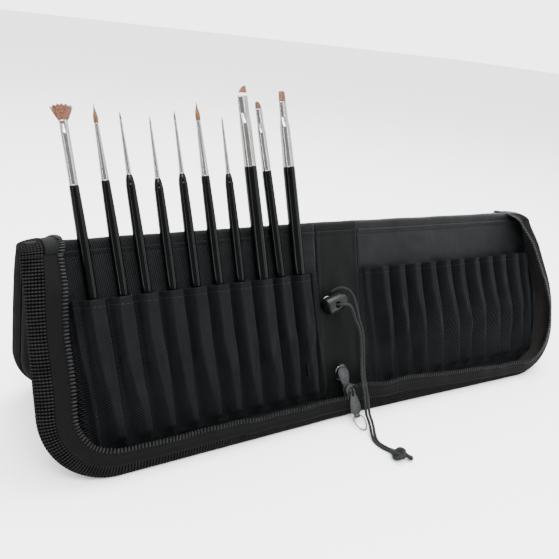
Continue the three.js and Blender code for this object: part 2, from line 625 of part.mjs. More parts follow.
// ---- origin: the middle of the footprint, at table height; the free tail of the drawcord is left out ----
const FREE_TAIL = ['drawcord_strand_a', 'drawcord_strand_b', 'drawcord_knot'];
const footprint = new THREE.Box3();
model.updateMatrixWorld(true);
model.traverse((part) => {
  if (part.isMesh && !FREE_TAIL.includes(part.name)) footprint.expandByObject(part, true);
});
const middle = footprint.getCenter(new THREE.Vector3());
model.position.set(-middle.x, -middle.y, -footprint.min.z);

export default model;
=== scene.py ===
"""Zippered easel case with ten nail art brushes: fabric, zipper, cord, brushes and their materials."""
import json
import math

import bmesh
import bpy
import numpy as np
from mathutils import Matrix, Vector, noise


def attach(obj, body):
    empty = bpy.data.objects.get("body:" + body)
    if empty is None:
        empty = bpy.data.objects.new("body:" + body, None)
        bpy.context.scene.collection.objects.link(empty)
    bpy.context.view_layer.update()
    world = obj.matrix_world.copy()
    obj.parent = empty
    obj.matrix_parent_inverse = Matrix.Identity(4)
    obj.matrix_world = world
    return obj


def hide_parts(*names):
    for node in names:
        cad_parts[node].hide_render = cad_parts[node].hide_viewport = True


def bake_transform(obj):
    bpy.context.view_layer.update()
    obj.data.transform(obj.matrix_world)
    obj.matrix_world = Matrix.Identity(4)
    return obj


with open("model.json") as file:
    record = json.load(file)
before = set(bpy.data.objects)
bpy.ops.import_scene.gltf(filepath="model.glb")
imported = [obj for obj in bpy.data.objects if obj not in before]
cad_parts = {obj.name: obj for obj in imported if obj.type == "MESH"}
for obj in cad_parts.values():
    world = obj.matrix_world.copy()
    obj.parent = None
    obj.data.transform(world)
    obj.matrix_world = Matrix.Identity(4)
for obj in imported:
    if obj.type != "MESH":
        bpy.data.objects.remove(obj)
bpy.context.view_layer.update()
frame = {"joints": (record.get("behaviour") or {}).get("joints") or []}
rng = np.random.default_rng(7)

# ---- driving sizes, in millimetres ---------------------------------------------------------------
MM = 0.001
JOINTS = {joint["name"]: joint for joint in frame["joints"]}
SPINE_HALF = 17.5  # half the spine's width, to the cover hinges
SEAM_GAP = 0.45  # from a hinge line to the panel beside it
HALF_WIDTH = 199.4  # to the outer edge of the cover boards
CORNER = 36.0  # radius of the covers' outer corners
BOARD = 3.0  # padded thickness
BARE_BOARD = 0.9  # thickness above the padding
PAD_TOP, PAD_FULL = 12, 18  # the padding grows in between these
PANEL_END = 132.07  # the panels' bottom edge, down the slant from the apex
CORNER_TOP = PANEL_END - CORNER
HEM = 10.6  # where the crest strip passes under the panels' hem
HEM_STITCH = HEM + 3.6
CREST_RADIUS = 2.6
SHOULDER = 14.0  # the right covers' edge draws in by this much at the crest; the CAD's by 8
SHOULDER_TOP = 10.0  # it stays drawn in down to here; the CAD's begins to widen at once
SHOULDER_END = 80.0  # and is back at the full width from here; the CAD's from 55
MOUTH = 37.4  # pocket mouths
POCKET_END = 125.0  # 3 lower than the CAD's
PITCH = 14.7  # from one pocket to the next
FIRST_POCKET = 34.4  # centre of the right row's first pocket
POCKET_LEAN = math.radians(3.6)
ROW_OUTER = 181.5
FRONT_BULGE, BACK_BULGE = 4.99, 3.4  # how far the rims stand outside the boards
SLIDER_X = -3.5
LOCK = dict(x=-9.3, down=59.8, out=7.2, tilt=math.radians(16.5), radius=6.0, length=14.0, bore=4.2, hole=2.0)


def unit(v):
    v = np.asarray(v, float)
    return v / np.linalg.norm(v)


def smooth(x, low, high):
    t = np.clip((np.asarray(x, float) - low) / (high - low), 0, 1)
    return t * t * (3 - 2 * t)


def mix(a, b, t):
    return a + (b - a) * t


def unit_rows(rows):
    return rows / np.linalg.norm(rows, axis=-1)[..., None]


def angles(count):
    """Even angles round a circle."""
    return np.linspace(0, 2 * math.pi, count, endpoint=False)


def steps_of(path):
    return np.linalg.norm(np.diff(path, axis=0), axis=1)


def travel_along(path):
    """Distance run at each point of a path."""
    return np.r_[0, np.cumsum(steps_of(path))]


def length_of(path):
    return float(steps_of(path).sum())


def points_at(want, travel, points):
    """Points of a path at the wanted distances along it."""
    return np.stack([np.interp(want, travel, points[:, k]) for k in range(points.shape[1])], 1)


def swell(x, middle, width):
    """Rises smoothly to 1 at the middle."""
    return np.exp(-(((x - middle) / width) ** 2))


UP = unit(JOINTS["right_cover_fold"]["axis"])
SIN_A, COS_A = UP[1], UP[2]
HALF_ANGLE = math.asin(SIN_A)
CREST = np.array(JOINTS["easel_fold"]["pos_m"]) / MM


class Face:
    """A lining plane: x along the crest, down the slant from the apex, out of the lining."""

    def __init__(self, origin, x, up):
        self.origin = np.asarray(origin, float)
        self.x, self.up = unit(x), unit(up)
        self.out = np.cross(self.x, self.up)

    def at(self, x, down, out):
        x, down, out = np.broadcast_arrays(np.asarray(x, float), down, out)
        return self.origin + x[..., None] * self.x - down[..., None] * self.up + out[..., None] * self.out


def faces_of(joint):
    """The front and back faces that meet at an easel joint."""
    x = -unit(joint["axis"])
    origin = np.array(joint["pos_m"]) / MM
    front = Face(origin, x, (-SIN_A * x[1], SIN_A * x[0], COS_A))
    back = Face(origin, -x, (SIN_A * x[1], -SIN_A * x[0], COS_A))
    return front, back


spine_front, spine_back = faces_of(JOINTS["easel_fold"])
left_front, left_back = faces_of(JOINTS["left_easel_fold"])
right_front, right_back = faces_of(JOINTS["right_easel_fold"])

# ---- camera: at the photograph's viewing angle -------------------------------------------------
CAMERA = {"from_crest": (-244.2, -329.5, 113.2), "yaw": 32.05, "pitch": 22.04, "roll": 6.94, "lens": 39.74}


def add_object(name, data):
    made = bpy.data.objects.new(name, data)
    bpy.context.scene.collection.objects.link(made)
    return made


def add_camera():
    yaw, pitch, roll = (math.radians(CAMERA[k]) for k in ("yaw", "pitch", "roll"))
    look = Vector((math.sin(yaw) * math.cos(pitch), math.cos(yaw) * math.cos(pitch), -math.sin(pitch)))
    right = Vector((math.cos(yaw), -math.sin(yaw), 0))
    up = right.cross(look)
    side = math.cos(roll) * right + math.sin(roll) * up
    top = -math.sin(roll) * right + math.cos(roll) * up
    turn = Matrix((side, top, -look)).transposed().to_4x4()
    data = bpy.data.cameras.new("camera")
    data.lens = CAMERA["lens"]
    data.sensor_width = 36
    data.clip_start = 0.01
    camera = add_object("camera", data)
    place = Vector((CREST + np.array(CAMERA["from_crest"])) * MM)
    camera.matrix_world = Matrix.Translation(place) @ turn
    bpy.context.scene.camera = camera


add_camera()


# ---- mesh tools ---------------------------------------------------------------------------------
def new_object(name, points, faces, uvs=None, flat=False):
    """Points in millimetres; uvs, one per face corner, in millimetres too."""
    mesh = bpy.data.meshes.new(name)
    mesh.from_pydata((np.asarray(points, float).reshape(-1, 3) * MM).tolist(), [], faces)
    if uvs is not None:
        layer = mesh.uv_layers.new(name="uv")
        layer.data.foreach_set("uv", np.asarray(uvs, float).reshape(-1))
    mesh.validate()
    if not flat:
        mesh.shade_smooth()
    return add_object(name, mesh)


def orient(made):
    """Turns the faces outward and returns the object."""
    work = bmesh.new()
    work.from_mesh(made.data)
    bmesh.ops.recalc_face_normals(work, faces=work.faces)
    work.to_mesh(made.data)
    work.free()
    return made


def mark_sharp(made, degrees=40):
    made.data.set_sharp_from_angle(angle=math.radians(degrees))
    return made


def shell(name, front, back, uv):
    """Closed sheet between two grids of points; uv is a grid of pairs. The back grid takes material 1."""
    rows, cols = front.shape[:2]
    points = np.concatenate([front.reshape(-1, 3), back.reshape(-1, 3)])
    flat_uv = np.asarray(uv, float).reshape(-1, 2)
    count = rows * cols
    faces = []
    corner_uv = []

    def add(quad):
        faces.append(quad)
        corner_uv.extend(flat_uv[i % count] for i in quad)

    for r in range(rows - 1):
        for c in range(cols - 1):
            a = r * cols + c
            quad = (a, a + 1, a + cols + 1, a + cols)
            add(quad)
            add(tuple(count + i for i in reversed(quad)))
    rim = list(range(cols))
    rim += [r * cols + cols - 1 for r in range(1, rows)]
    rim += [(rows - 1) * cols + c for c in range(cols - 2, -1, -1)]
    rim += [r * cols for r in range(rows - 2, 0, -1)]
    for a, b in zip(rim, rim[1:] + rim[:1]):
        add((b, a, count + a, count + b))
    made = orient(new_object(name, points, faces, corner_uv))
    for polygon in made.data.polygons:
        if min(polygon.vertices) >= count:
            polygon.material_index = 1
    return made


def loft(name, rings, uv_along=None, uv_round=None, closed=False, caps=True):
    """Closed body through rings of the same number of points."""
    rings = np.asarray(rings, float)
    rows, cols = rings.shape[:2]
    along = np.arange(rows) if uv_along is None else np.asarray(uv_along, float)
    round_ = np.linspace(0, 1, cols + 1) if uv_round is None else np.asarray(uv_round, float)
    faces = []
    corner_uv = []
    last = rows if closed else rows - 1
    for r in range(last):
        n = (r + 1) % rows
        end = along[n] if n else along[-1] + (along[-1] - along[-2])
        for c in range(cols):
            d = (c + 1) % cols
            faces.append((r * cols + c, r * cols + d, n * cols + d, n * cols + c))
            left, right = round_[c], round_[c + 1]
            corner_uv += [(along[r], left), (along[r], right), (end, right), (end, left)]
    if caps and not closed:
        for row, turn in ((0, -1), (rows - 1, 1)):
            faces.append(tuple(row * cols + c for c in range(cols))[::turn])
            corner_uv += [(along[row], round_[c]) for c in range(cols)][::turn]
    return orient(new_object(name, rings, faces, corner_uv))


def spline(points, count):
    """Even Catmull-Rom samples through the points."""
    p = np.asarray(points, float)
    p = np.vstack([2 * p[0] - p[1], p, 2 * p[-1] - p[-2]])
    fine = []
    for i in range(1, len(p) - 2):
        t = np.linspace(0, 1, 24, endpoint=False)[:, None]
        a, b, c, d = p[i - 1], p[i], p[i + 1], p[i + 2]
        square, cube = 2 * a - 5 * b + 4 * c - d, 3 * b - a - 3 * c + d
        fine.append(0.5 * (2 * b + (c - a) * t + square * t**2 + cube * t**3))
    fine = np.vstack(fine + [p[-2][None]])
    travel = travel_along(fine)
    return points_at(np.linspace(0, travel[-1], count), travel, fine)


def tangent_frames(path, up=(0, 0, 1)):
    path = np.asarray(path, float)
    along = unit_rows(np.gradient(path, axis=0))
    side = np.cross(along[0], up)
    if np.linalg.norm(side) < 1e-3:
        side = np.cross(along[0], (1, 0, 0))
    sides = []
    for t in along:
        side = unit(side - t * np.dot(side, t))
        sides.append(side)
    sides = np.array(sides)
    return along, sides, np.cross(along, sides)


def tube(name, path, radius, sides=12, closed=False):
    """Round tube along a path; radius is a number or one for each point."""
    path = np.asarray(path, float)
    radius = np.broadcast_to(np.asarray(radius, float), (len(path),))
    _, a, b = tangent_frames(path)
    angle = angles(sides)
    ring = np.cos(angle)[None, :, None] * a[:, None] + np.sin(angle)[None, :, None] * b[:, None]
    length = travel_along(path)
    rings = path[:, None] + radius[:, None, None] * ring
    return loft(name, rings, length, np.linspace(0, 2 * math.pi * radius.mean(), sides + 1), closed)


def joined(name, parts):
    """One object from several."""
    work = bmesh.new()
    for part in parts:
        work.from_mesh(part.data)
        bpy.data.objects.remove(part)
    mesh = bpy.data.meshes.new(name)
    work.to_mesh(mesh)
    work.free()
    return add_object(name, mesh)


def ripple(points, size, seed):
    """Smooth noise, one value for each point of an array of points in millimetres."""
    flat = np.asarray(points, float).reshape(-1, 3) / size
    values = [noise.noise(Vector((p[0] + 31 * seed, p[1], p[2]))) for p in flat]
    return np.array(values).reshape(np.asarray(points).shape[:-1])


# ---- materials ----------------------------------------------------------------------------------
class Shader:
    """A principled material built from a few kinds of node."""

    def __init__(self, name, color, roughness, metallic=0.0, **sockets):
        self.material = bpy.data.materials.new(name)
        self.material.use_nodes = True
        self.tree = self.material.node_tree
        self.out = self.tree.nodes["Principled BSDF"]
        self.color = color
        self.out.inputs["Base Color"].default_value = (*color, 1)
        self.out.inputs["Roughness"].default_value = roughness
        self.out.inputs["Metallic"].default_value = metallic
        for key, value in sockets.items():
            self.out.inputs[key.replace("_", " ")].default_value = value
        self.uv = self.tree.nodes.new("ShaderNodeTexCoord").outputs["UV"]
        self.place = self.tree.nodes["Texture Coordinate"].outputs["Object"]

    def math(self, operation, a, b=0.0):
        node = self.tree.nodes.new("ShaderNodeMath")
        node.operation = operation
        for socket, value in zip(node.inputs, (a, b)):
            if isinstance(value, (int, float)):
                socket.default_value = value
            else:
                self.tree.links.new(value, socket)
        return node.outputs[0]

    def wave(self, period, direction=(1, 0)):
        """Sine across the uv plane, from -1 to 1."""
        node = self.tree.nodes.new("ShaderNodeVectorMath")
        node.operation = "DOT_PRODUCT"
        self.tree.links.new(self.uv, node.inputs[0])
        k = 2 * math.pi / period / math.hypot(*direction)
        node.inputs[1].default_value = (direction[0] * k, direction[1] * k, 0)
        return self.math("SINE", node.outputs["Value"])

    def noise(self, size_mm, detail=3.0):
        node = self.tree.nodes.new("ShaderNodeTexNoise")
        node.inputs["Scale"].default_value = 1000 / size_mm
        node.inputs["Detail"].default_value = detail
        self.tree.links.new(self.place, node.inputs["Vector"])
        return node.outputs[0]

    def bump(self, height, depth_mm, strength=1.0):
        node = self.tree.nodes.new("ShaderNodeBump")
        node.inputs["Strength"].default_value = strength
        node.inputs["Distance"].default_value = depth_mm * MM
        self.tree.links.new(height, node.inputs["Height"])
        if self.out.inputs["Normal"].is_linked:
            self.tree.links.new(self.out.inputs["Normal"].links[0].from_socket, node.inputs["Normal"])
        self.tree.links.new(node.outputs[0], self.out.inputs["Normal"])

    def tint(self, factor, low, high, colors):
        ramp = self.tree.nodes.new("ShaderNodeValToRGB")
        for stop, place, color in zip(ramp.color_ramp.elements, (low, high), colors):
            stop.position = place
            stop.color = (*color, 1)
        self.tree.links.new(factor, ramp.inputs[0])
        self.tree.links.new(ramp.outputs[0], self.out.inputs["Base Color"])

    def vary_roughness(self, factor, low, high):
        node = self.tree.nodes.new("ShaderNodeMapRange")
        node.inputs["To Min"].default_value = low
        node.inputs["To Max"].default_value = high
        self.tree.links.new(factor, node.inputs["Value"])
        self.tree.links.new(node.outputs[0], self.out.inputs["Roughness"])

    def half(self, value):
        """From -1..1 to 0..1."""
        return self.math("MULTIPLY", self.math("ADD", value, 1.0), 0.5)


def cloth(name, dark, light, warp, weft, depth, rough=0.62, sheen=0.02, shine=0.12, patch=9):
    """Woven cloth: warp and weft are (period, direction) of two crossing sets of threads, in mm."""
    s = Shader(name, light, rough, Sheen_Weight=sheen, Sheen_Roughness=0.45, Specular_IOR_Level=0.35 * shine)
    s.out.inputs["Sheen Tint"].default_value = (0.8, 0.85, 0.88, 1)
    dots = s.math("MULTIPLY", s.half(s.wave(*warp)), s.half(s.wave(*weft)))
    s.tint(s.math("MULTIPLY", dots, s.math("ADD", s.noise(patch), 0.45)), 0.05, 0.75, (dark, light))
    s.bump(dots, depth)
    return s


def twill():
    dark, light = (0.0004, 0.00045, 0.0005), (0.0150, 0.016, 0.017)
    s = cloth("twill_nylon", dark, light, (1.15, (1, 0.35)), (0.8, (-0.35, 1)), 0.24, sheen=0.03)
    s.bump(s.noise(26, 2), 0.5, 0.5)
    return s.material


def pocket_nylon():
    dark, light = (0.0002, 0.00023, 0.00028), (0.0155, 0.0163, 0.0183)
    warp, weft = (1.1, (1, 0.9)), (0.95, (-0.6, 1))
    s = cloth("pocket_nylon", dark, light, warp, weft, 0.26, 0.5, patch=12, shine=0.05)
    s.bump(s.noise(15, 2), 0.4, 0.6)
    return s.material


def satin_threads(s, patch, colors):
    threads = s.half(s.wave(0.5, (1, 0.15)))
    s.tint(s.math("MULTIPLY", s.math("ADD", threads, 1.2), s.noise(patch)), 0.3, 1.1, colors)
    s.bump(threads, 0.04)


def satin():
    s = Shader("satin_lining", (0.0042, 0.0046, 0.005), 0.4, Sheen_Weight=0.04, Sheen_Roughness=0.3,
               Specular_IOR_Level=0.08)
    s.out.inputs["Sheen Tint"].default_value = (0.75, 0.82, 0.85, 1)
    satin_threads(s, 30, ((0.0016, 0.0019, 0.0021), (0.0042, 0.0047, 0.0051)))
    s.bump(s.noise(19, 2), 1.5, 0.9)
    s.vary_roughness(s.noise(14), 0.34, 0.5)
    return s.material


def spine_satin():
    s = Shader("spine_satin", (0.002, 0.0023, 0.0024), 0.5, Sheen_Weight=0.02, Specular_IOR_Level=0.045)
    satin_threads(s, 34, ((0.0007, 0.0009, 0.00096), (0.002, 0.0024, 0.0024)))
    s.bump(s.noise(16, 2), 0.9, 0.7)
    return s.material


def outer_nylon():
    dark, light = (0.0008, 0.00086, 0.00094), (0.0039, 0.0042, 0.0046)
    return cloth("outer_nylon", dark, light, (0.75, (1, 0)), (0.75, (0, 1)), 0.16, 0.66, patch=18).material


def ribbed_webbing():
    """Transverse rows of small knots: uv runs along the band and then across it."""
    s = Shader("ribbed_webbing", (0.0036, 0.0036, 0.0038), 0.75, Specular_IOR_Level=0.01)
    rows = s.half(s.wave(RIB))
    cells = s.half(s.wave(CELL, (0, 1)))
    dots = s.math("MULTIPLY", rows, s.math("POWER", cells, 0.8))
    height = s.math("ADD", s.math("MULTIPLY", rows, 0.4), dots)
    s.tint(s.math("MULTIPLY", height, s.math("ADD", s.noise(7), 0.4)), 0.15, 1.2,
           ((0.0002, 0.0002, 0.00021), (0.0135, 0.0137, 0.014)))
    s.bump(height, 0.5)
    return s.material


def zipper_tape(name="zipper_tape", dark=(0.0009, 0.0009, 0.00096), light=(0.005, 0.0051, 0.0053)):
    s = cloth(name, dark, light, (1.0, (1, 0.7)), (0.75, (0, 1)), 0.14, 0.72, patch=6)
    ribs = s.half(s.wave(2.6, (0, 1)))
    s.bump(ribs, 0.12)
    return s.material


def coil_nylon():
    s = Shader("coil_nylon", (0.0075, 0.0075, 0.0078), 0.36, Specular_IOR_Level=0.12)
    s.tint(s.noise(3), 0.3, 0.8, ((0.0026, 0.0026, 0.0028), (0.009, 0.009, 0.0092)))
    s.bump(s.noise(0.8), 0.04)
    return s.material


def thread():
    s = Shader("sewing_thread", (0.008, 0.008, 0.0084), 0.6, Specular_IOR_Level=0.2)
    s.tint(s.noise(2), 0.3, 0.8, ((0.0024, 0.0024, 0.0028), (0.008, 0.0084, 0.0092)))
    s.bump(s.noise(0.5), 0.05)
    return s.material


def lacquer():
    s = Shader("black_lacquer", (0.0007, 0.0008, 0.0009), 0.12, Specular_IOR_Level=0.07, Coat_Weight=0.05,
               Coat_Roughness=0.04)
    s.tint(s.noise(40), 0.2, 0.9, ((0.0005, 0.0006, 0.0007), (0.0011, 0.0014, 0.0015)))
    s.bump(s.noise(7, 2), 0.03, 0.4)
    s.vary_roughness(s.noise(6), 0.1, 0.18)
    return s.material


def nickel():
    s = Shader("polished_nickel", (0.23, 0.23, 0.225), 0.14, 1.0)
    rings = s.half(s.wave(0.22))
    s.tint(s.noise(10), 0.2, 0.9, ((0.18, 0.18, 0.175), (0.27, 0.27, 0.265)))
    s.bump(s.math("MULTIPLY", rings, s.noise(4)), 0.012, 0.5)
    s.vary_roughness(s.noise(5), 0.08, 0.2)
    return s.material


def hair(name, root, tip):
    s = Shader(name, root, 0.48, Specular_IOR_Level=0.35)
    s.tint(s.math("MULTIPLY", s.noise(0.8, 4), 1.2), 0.4, 0.8, (root, tip))
    s.bump(s.noise(0.6), 0.03)
    return s.material


def plastic(name, color, roughness):
    s = Shader(name, color, roughness, Specular_IOR_Level=0.12)
    s.tint(s.noise(6), 0.2, 0.9, (tuple(0.75 * c for c in color), tuple(1.25 * c for c in color)))
    s.bump(s.noise(0.5), 0.03, 0.5)
    s.vary_roughness(s.noise(3), roughness - 0.06, roughness + 0.1)
    return s.material


def enamel():
    s = Shader("dark_enamel", (0.0165, 0.01705, 0.0176), 0.42, 0.35, Specular_IOR_Level=0.25)
    s.tint(s.noise(3), 0.3, 0.8, ((0.0099, 0.01018, 0.01073), (0.02475, 0.0253, 0.0264)))
    s.bump(s.noise(1.2), 0.04, 0.5)
    s.vary_roughness(s.noise(2), 0.34, 0.52)
    return s.material


def steel():
    s = Shader("dark_steel", (0.128, 0.132, 0.136), 0.28, 1.0)
    s.tint(s.noise(2), 0.2, 0.9, ((0.072, 0.0736, 0.0768), (0.176, 0.18, 0.184)))
    s.bump(s.noise(0.7), 0.02, 0.5)
    return s.material


def braid():
    s = Shader("braided_cord", (0.0066, 0.0075, 0.0072), 0.6, Sheen_Weight=0.02, Specular_IOR_Level=0.05)
    one = s.half(s.wave(0.9, (1, 0.6)))
    two = s.half(s.wave(0.9, (1, -0.6)))
    weave = s.math("MAXIMUM", one, two)
    s.tint(s.math("MULTIPLY", weave, s.math("ADD", s.noise(2), 0.5)), 0.35, 1.1,
           ((0.0004, 0.0005, 0.0005), (0.016, 0.0175, 0.0175)))
    s.bump(weave, 0.2)
    return s.material


RIB, CELL = 1.8, 1.5  # the webbing's rows and the knots along each row
LOOKS = {
    "twill": twill(), "pocket": pocket_nylon(), "satin": satin(), "spine": spine_satin(),
    "outer": outer_nylon(), "webbing": ribbed_webbing(), "tape": zipper_tape(), "coil": coil_nylon(),
    "thread": thread(), "lacquer": lacquer(), "nickel": nickel(),
    "lock": plastic("lock_plastic", (0.0042, 0.0045, 0.0043), 0.3),
    "lock_dark": plastic("plunger_plastic", (0.002, 0.002, 0.0022), 0.4),
    "enamel": enamel(), "steel": steel(), "cord": braid(),
    "copper_hair": hair("copper_hair", (0.03, 0.0095, 0.0045), (0.19, 0.07, 0.033)),
    "golden_hair": hair("golden_hair", (0.035, 0.014, 0.003), (0.17, 0.076, 0.016)),
    "red_hair": hair("red_brown_hair", (0.025, 0.008, 0.005), (0.11, 0.035, 0.02)),
    "pale_hair": hair("pale_hair", (0.06, 0.042, 0.018), (0.18, 0.13, 0.06)),
    "white_band": plastic("white_binding", (0.6, 0.6, 0.58), 0.5),
}
LOOKS["webbing_back"] = zipper_tape("webbing_back", (0.0045, 0.0043, 0.004), (0.023, 0.0222, 0.021))
LOOKS["tape_back"] = LOOKS["tape"]
LOOKS["pocket_back"] = LOOKS["spine_back"] = LOOKS["outer"]


def finish(made, look, body=None, replaces=()):
    """Gives a piece its material, its body and the nodes it stands for."""
    behind = [polygon.material_index for polygon in made.data.polygons]
    made.data.materials.clear()
    made.data.materials.append(LOOKS[look])
    if any(behind):
        made.data.materials.append(LOOKS["outer" if look in ("twill", "satin") else look + "_back"])
        made.data.polygons.foreach_set("material_index", behind)
    if body:
        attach(made, body)
    if replaces:
        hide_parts(*replaces)
    return made


# ---- drawcord: its route repeats the CAD's -------------------------------------------------------
# Each point is [x, y, z] with its origin on the table under the crest.
STRAND_A = [
    [-7.3, -19, 77.4], [-4, -20.2, 80.1], [-1.5, -21.9, 81.4], [2.5, -24.2, 80.7], [5.2, -26.9, 77.6],
    [6.4, -29.7, 73.3], [7.3, -32.2, 67.8], [8.4, -34.2, 62], [10.6, -35.9, 56], [12.4, -37.1, 49.4],
    [13.2, -38.6, 42.1], [13, -40.6, 36.1], [11.1, -45.3, 28.7], [8.7, -50.8, 24.2], [6.6, -55.6, 21.2],
    [5.6, -60.2, 16.6], [4.7, -64.2, 10.6], [2.7, -68.8, 8.2], [1.3, -72.8, 7.2], [-0.1, -77.2, 5.2],
    [-2.1, -82.2, 2.6], [-3.3, -87, 1.2], [-2.8, -91.6, 1.2], [-1.1, -95.8, 1.2], [0.4, -99.8, 2],
]
STRAND_B = [
    [-9.3, -28, 72.9], [-9.3, -32.2, 74.4], [-8, -34.1, 75.4], [-5.5, -34.7, 75.5], [-2.5, -34.4, 74.6],
    [0, -34, 72.1], [2.4, -34.2, 68.3], [5, -34.8, 62.4], [8.4, -36, 56], [10.2, -37.2, 49.4],
    [11, -38.7, 42.1], [10.8, -40.8, 36.1], [8.9, -45.5, 28.7], [6.5, -51, 24.2], [4.4, -55.8, 21.2],
    [3.4, -60, 16.2], [2.6, -63.6, 10.4], [0.6, -68, 7.9], [-0.8, -72, 7], [-2.2, -76.4, 5.2],
    [-4.2, -81.6, 2.6], [-5.4, -87, 1.2], [-4.8, -92.6, 1.2], [-2.9, -97.2, 1.2], [-1.4, -100.6, 2],
]
KNOT_AT = np.array([-0.6, -104.6, 3.5])
INNER_CORD = [[-9.3, -20, 70.2], [-9.3, -15.2, 68.5], [-9.3, 0, 67.2], [-9.3, 15.2, 68.5], [-9.3, 23, 71.2]]
STRAND = 0.95
GROUND = np.array([CREST[0], CREST[1], 0])


def knot(name, at, tails=((7.4, -4.4, -1.9), (6.2, -6.6, -1.2))):
    """Overhand knot: two turns of cord round each other, with two cut tails."""
    angle = np.linspace(0, 2 * math.pi, 60)
    radius = 2.7 + 1.05 * np.cos(3 * angle)
    x, y = 1.25 * radius * np.cos(2 * angle), radius * np.sin(2 * angle)
    bend = np.stack([x, y, 1.15 * np.sin(3 * angle)], 1)
    parts = [tube("turns", at + bend[:-1], 1.5, 10, closed=True)]
    for x, y, z in tails:
        route = [[0, 0, 0.4], [0.45 * x, 0.4 * y, 0.3], [0.75 * x, 0.72 * y, 0.6 * z], [x, y, z]]
        tail = spline(at + np.array(route), 16)
        parts.append(tube("tail", tail, np.linspace(STRAND, STRAND * 1.3, 16), 10))
    return joined(name, parts)


def add_drawcord():
    knot_piece = knot("knot", GROUND + KNOT_AT)
    finish(knot_piece, "cord", "front_spine", ["drawcord_knot"])
    for letter, points in (("a", STRAND_A), ("b", STRAND_B)):
        path = spline(GROUND + np.array(points), 220)
        strand = tube(f"strand_{letter}", path, STRAND)
        finish(strand, "cord", "front_spine", [f"drawcord_strand_{letter}"])
    inner = spline(GROUND + np.array(INNER_CORD), 80)
    cord = tube("tie_cord", inner, 1.2)
    stopper = knot("stopper", GROUND + np.array([-9.3, 24.2, 71.6]), [(2.5, 3.5, -4), (-2, 3, -5)])
    piece = joined("tie_cord_and_stopper", [cord, stopper])
    piece.data.shade_smooth()
    finish(piece, "cord", replaces=["drawcord_inner"])
    (spine_front.at(0, 60, 0) * MM).tolist()
    (spine_back.at(0, 60, 0) * MM).tolist()
    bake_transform(piece)


add_drawcord()


# ---- covers -------------------------------------------------------------------------------------
QUARTERS = [
    dict(name="front_left", face=left_front, side=-1, draw_in=0.0, lining="twill",
         leans=(16.5, 15.0, 11.5), start=48.5, bulge=FRONT_BULGE),
    dict(name="front_right", face=right_front, side=1, draw_in=SHOULDER, lining="satin",
         leans=(14, 3, 18), start=38.5, bulge=FRONT_BULGE),
    dict(name="back_left", face=left_back, side=1, draw_in=0.0, lining="twill",
         leans=(14, 8, 10), start=18.2, bulge=BACK_BULGE),
    dict(name="back_right", face=right_back, side=-1, draw_in=SHOULDER, lining="satin",
         leans=(14, 8, 10), start=18.2, bulge=BACK_BULGE),
]


def shoulder(draw_in, down):
    return draw_in * (1 - smooth(down, SHOULDER_TOP, SHOULDER_END))


def edge_at(down, draw_in):
    below = np.clip(down - CORNER_TOP, 0, CORNER)
    return HALF_WIDTH - shoulder(draw_in, down) - CORNER + np.sqrt(CORNER**2 - below**2)


def board_thickness(down):
    return mix(BARE_BOARD, BOARD, smooth(down, PAD_TOP, PAD_FULL))


def hem_profile(down):
    """Height of the lining: a rolled hem at its top edge, then a stitched groove."""
    return 0.95 * swell(down, HEM + 0.9, 1.1) - 0.35 * swell(down, HEM_STITCH, 0.6)


def lining_height(x, down, seed, folds):
    points = np.stack([x * 0.55, down, np.zeros_like(x)], -1)
    soft = folds * ripple(points, 17, seed) + 0.35 * folds * ripple(points, 7, seed + 3)
    return hem_profile(down) + 0.25 + soft * smooth(down, HEM + 3, HEM + 9)


def cover_panel(quarter):
    name, face, side = quarter["name"], quarter["face"], quarter["side"]
    spans = (HEM, PAD_FULL, 26), (PAD_FULL, 96, 50), (96, PANEL_END, 22)
    downs = np.unique(np.concatenate([np.linspace(*span) for span in spans]))
    share = np.linspace(0, 1, 110)
    outer = edge_at(downs, quarter["draw_in"])
    inner = SPINE_HALF + SEAM_GAP
    x = side * (inner + (outer - inner)[:, None] * share[None])
    down = np.broadcast_to(downs[:, None], x.shape)
    seed = len(name)
    front = face.at(x, down, lining_height(x, down, seed, 1.0 if quarter["lining"] == "satin" else 0.5))
    edge = smooth(share, 0, 0.012) * smooth(1 - share, 0, 0.015)
    thick = board_thickness(down) * (0.55 + 0.45 * edge[None])
    back = face.at(x, down, -thick + 0.12 * ripple(np.stack([x, down, 0 * x], -1), 24, seed + 9))
    piece = shell(f"{name}_panel", front, back, np.stack([x, down], -1))
    finish(piece, quarter["lining"], name, [f"{name}_cover"])
    return piece


def spine_panel(name, face, node):
    downs = np.unique(np.r_[np.linspace(HEM, PAD_FULL, 20), np.linspace(PAD_FULL, PANEL_END + 1, 70)])
    across = np.linspace(-SPINE_HALF + SEAM_GAP, SPINE_HALF - SEAM_GAP, 48)
    x, down = np.meshgrid(across, downs)
    long_folds = 0.5 * np.sin(x / 3.1 + 1.2 * np.sin(down / 38)) * smooth(down, 20, 60)
    edges = 0.45 * swell(np.abs(x), 15.6, 1.1)
    height = hem_profile(down) + 0.25 + edges + 0.55 * long_folds
    height += 0.6 * ripple(np.stack([x, down * 0.5, 0 * x], -1), 9, 5)
    hole = np.hypot(x - face.x[0] * LOCK["x"], down - LOCK["down"])
    height *= smooth(hole, 3.2, 6.0)
    back = face.at(x, down, -board_thickness(down))
    piece = shell(name, face.at(x, down, height), back, np.stack([x, down], -1))
    finish(piece, "spine", node, [node])


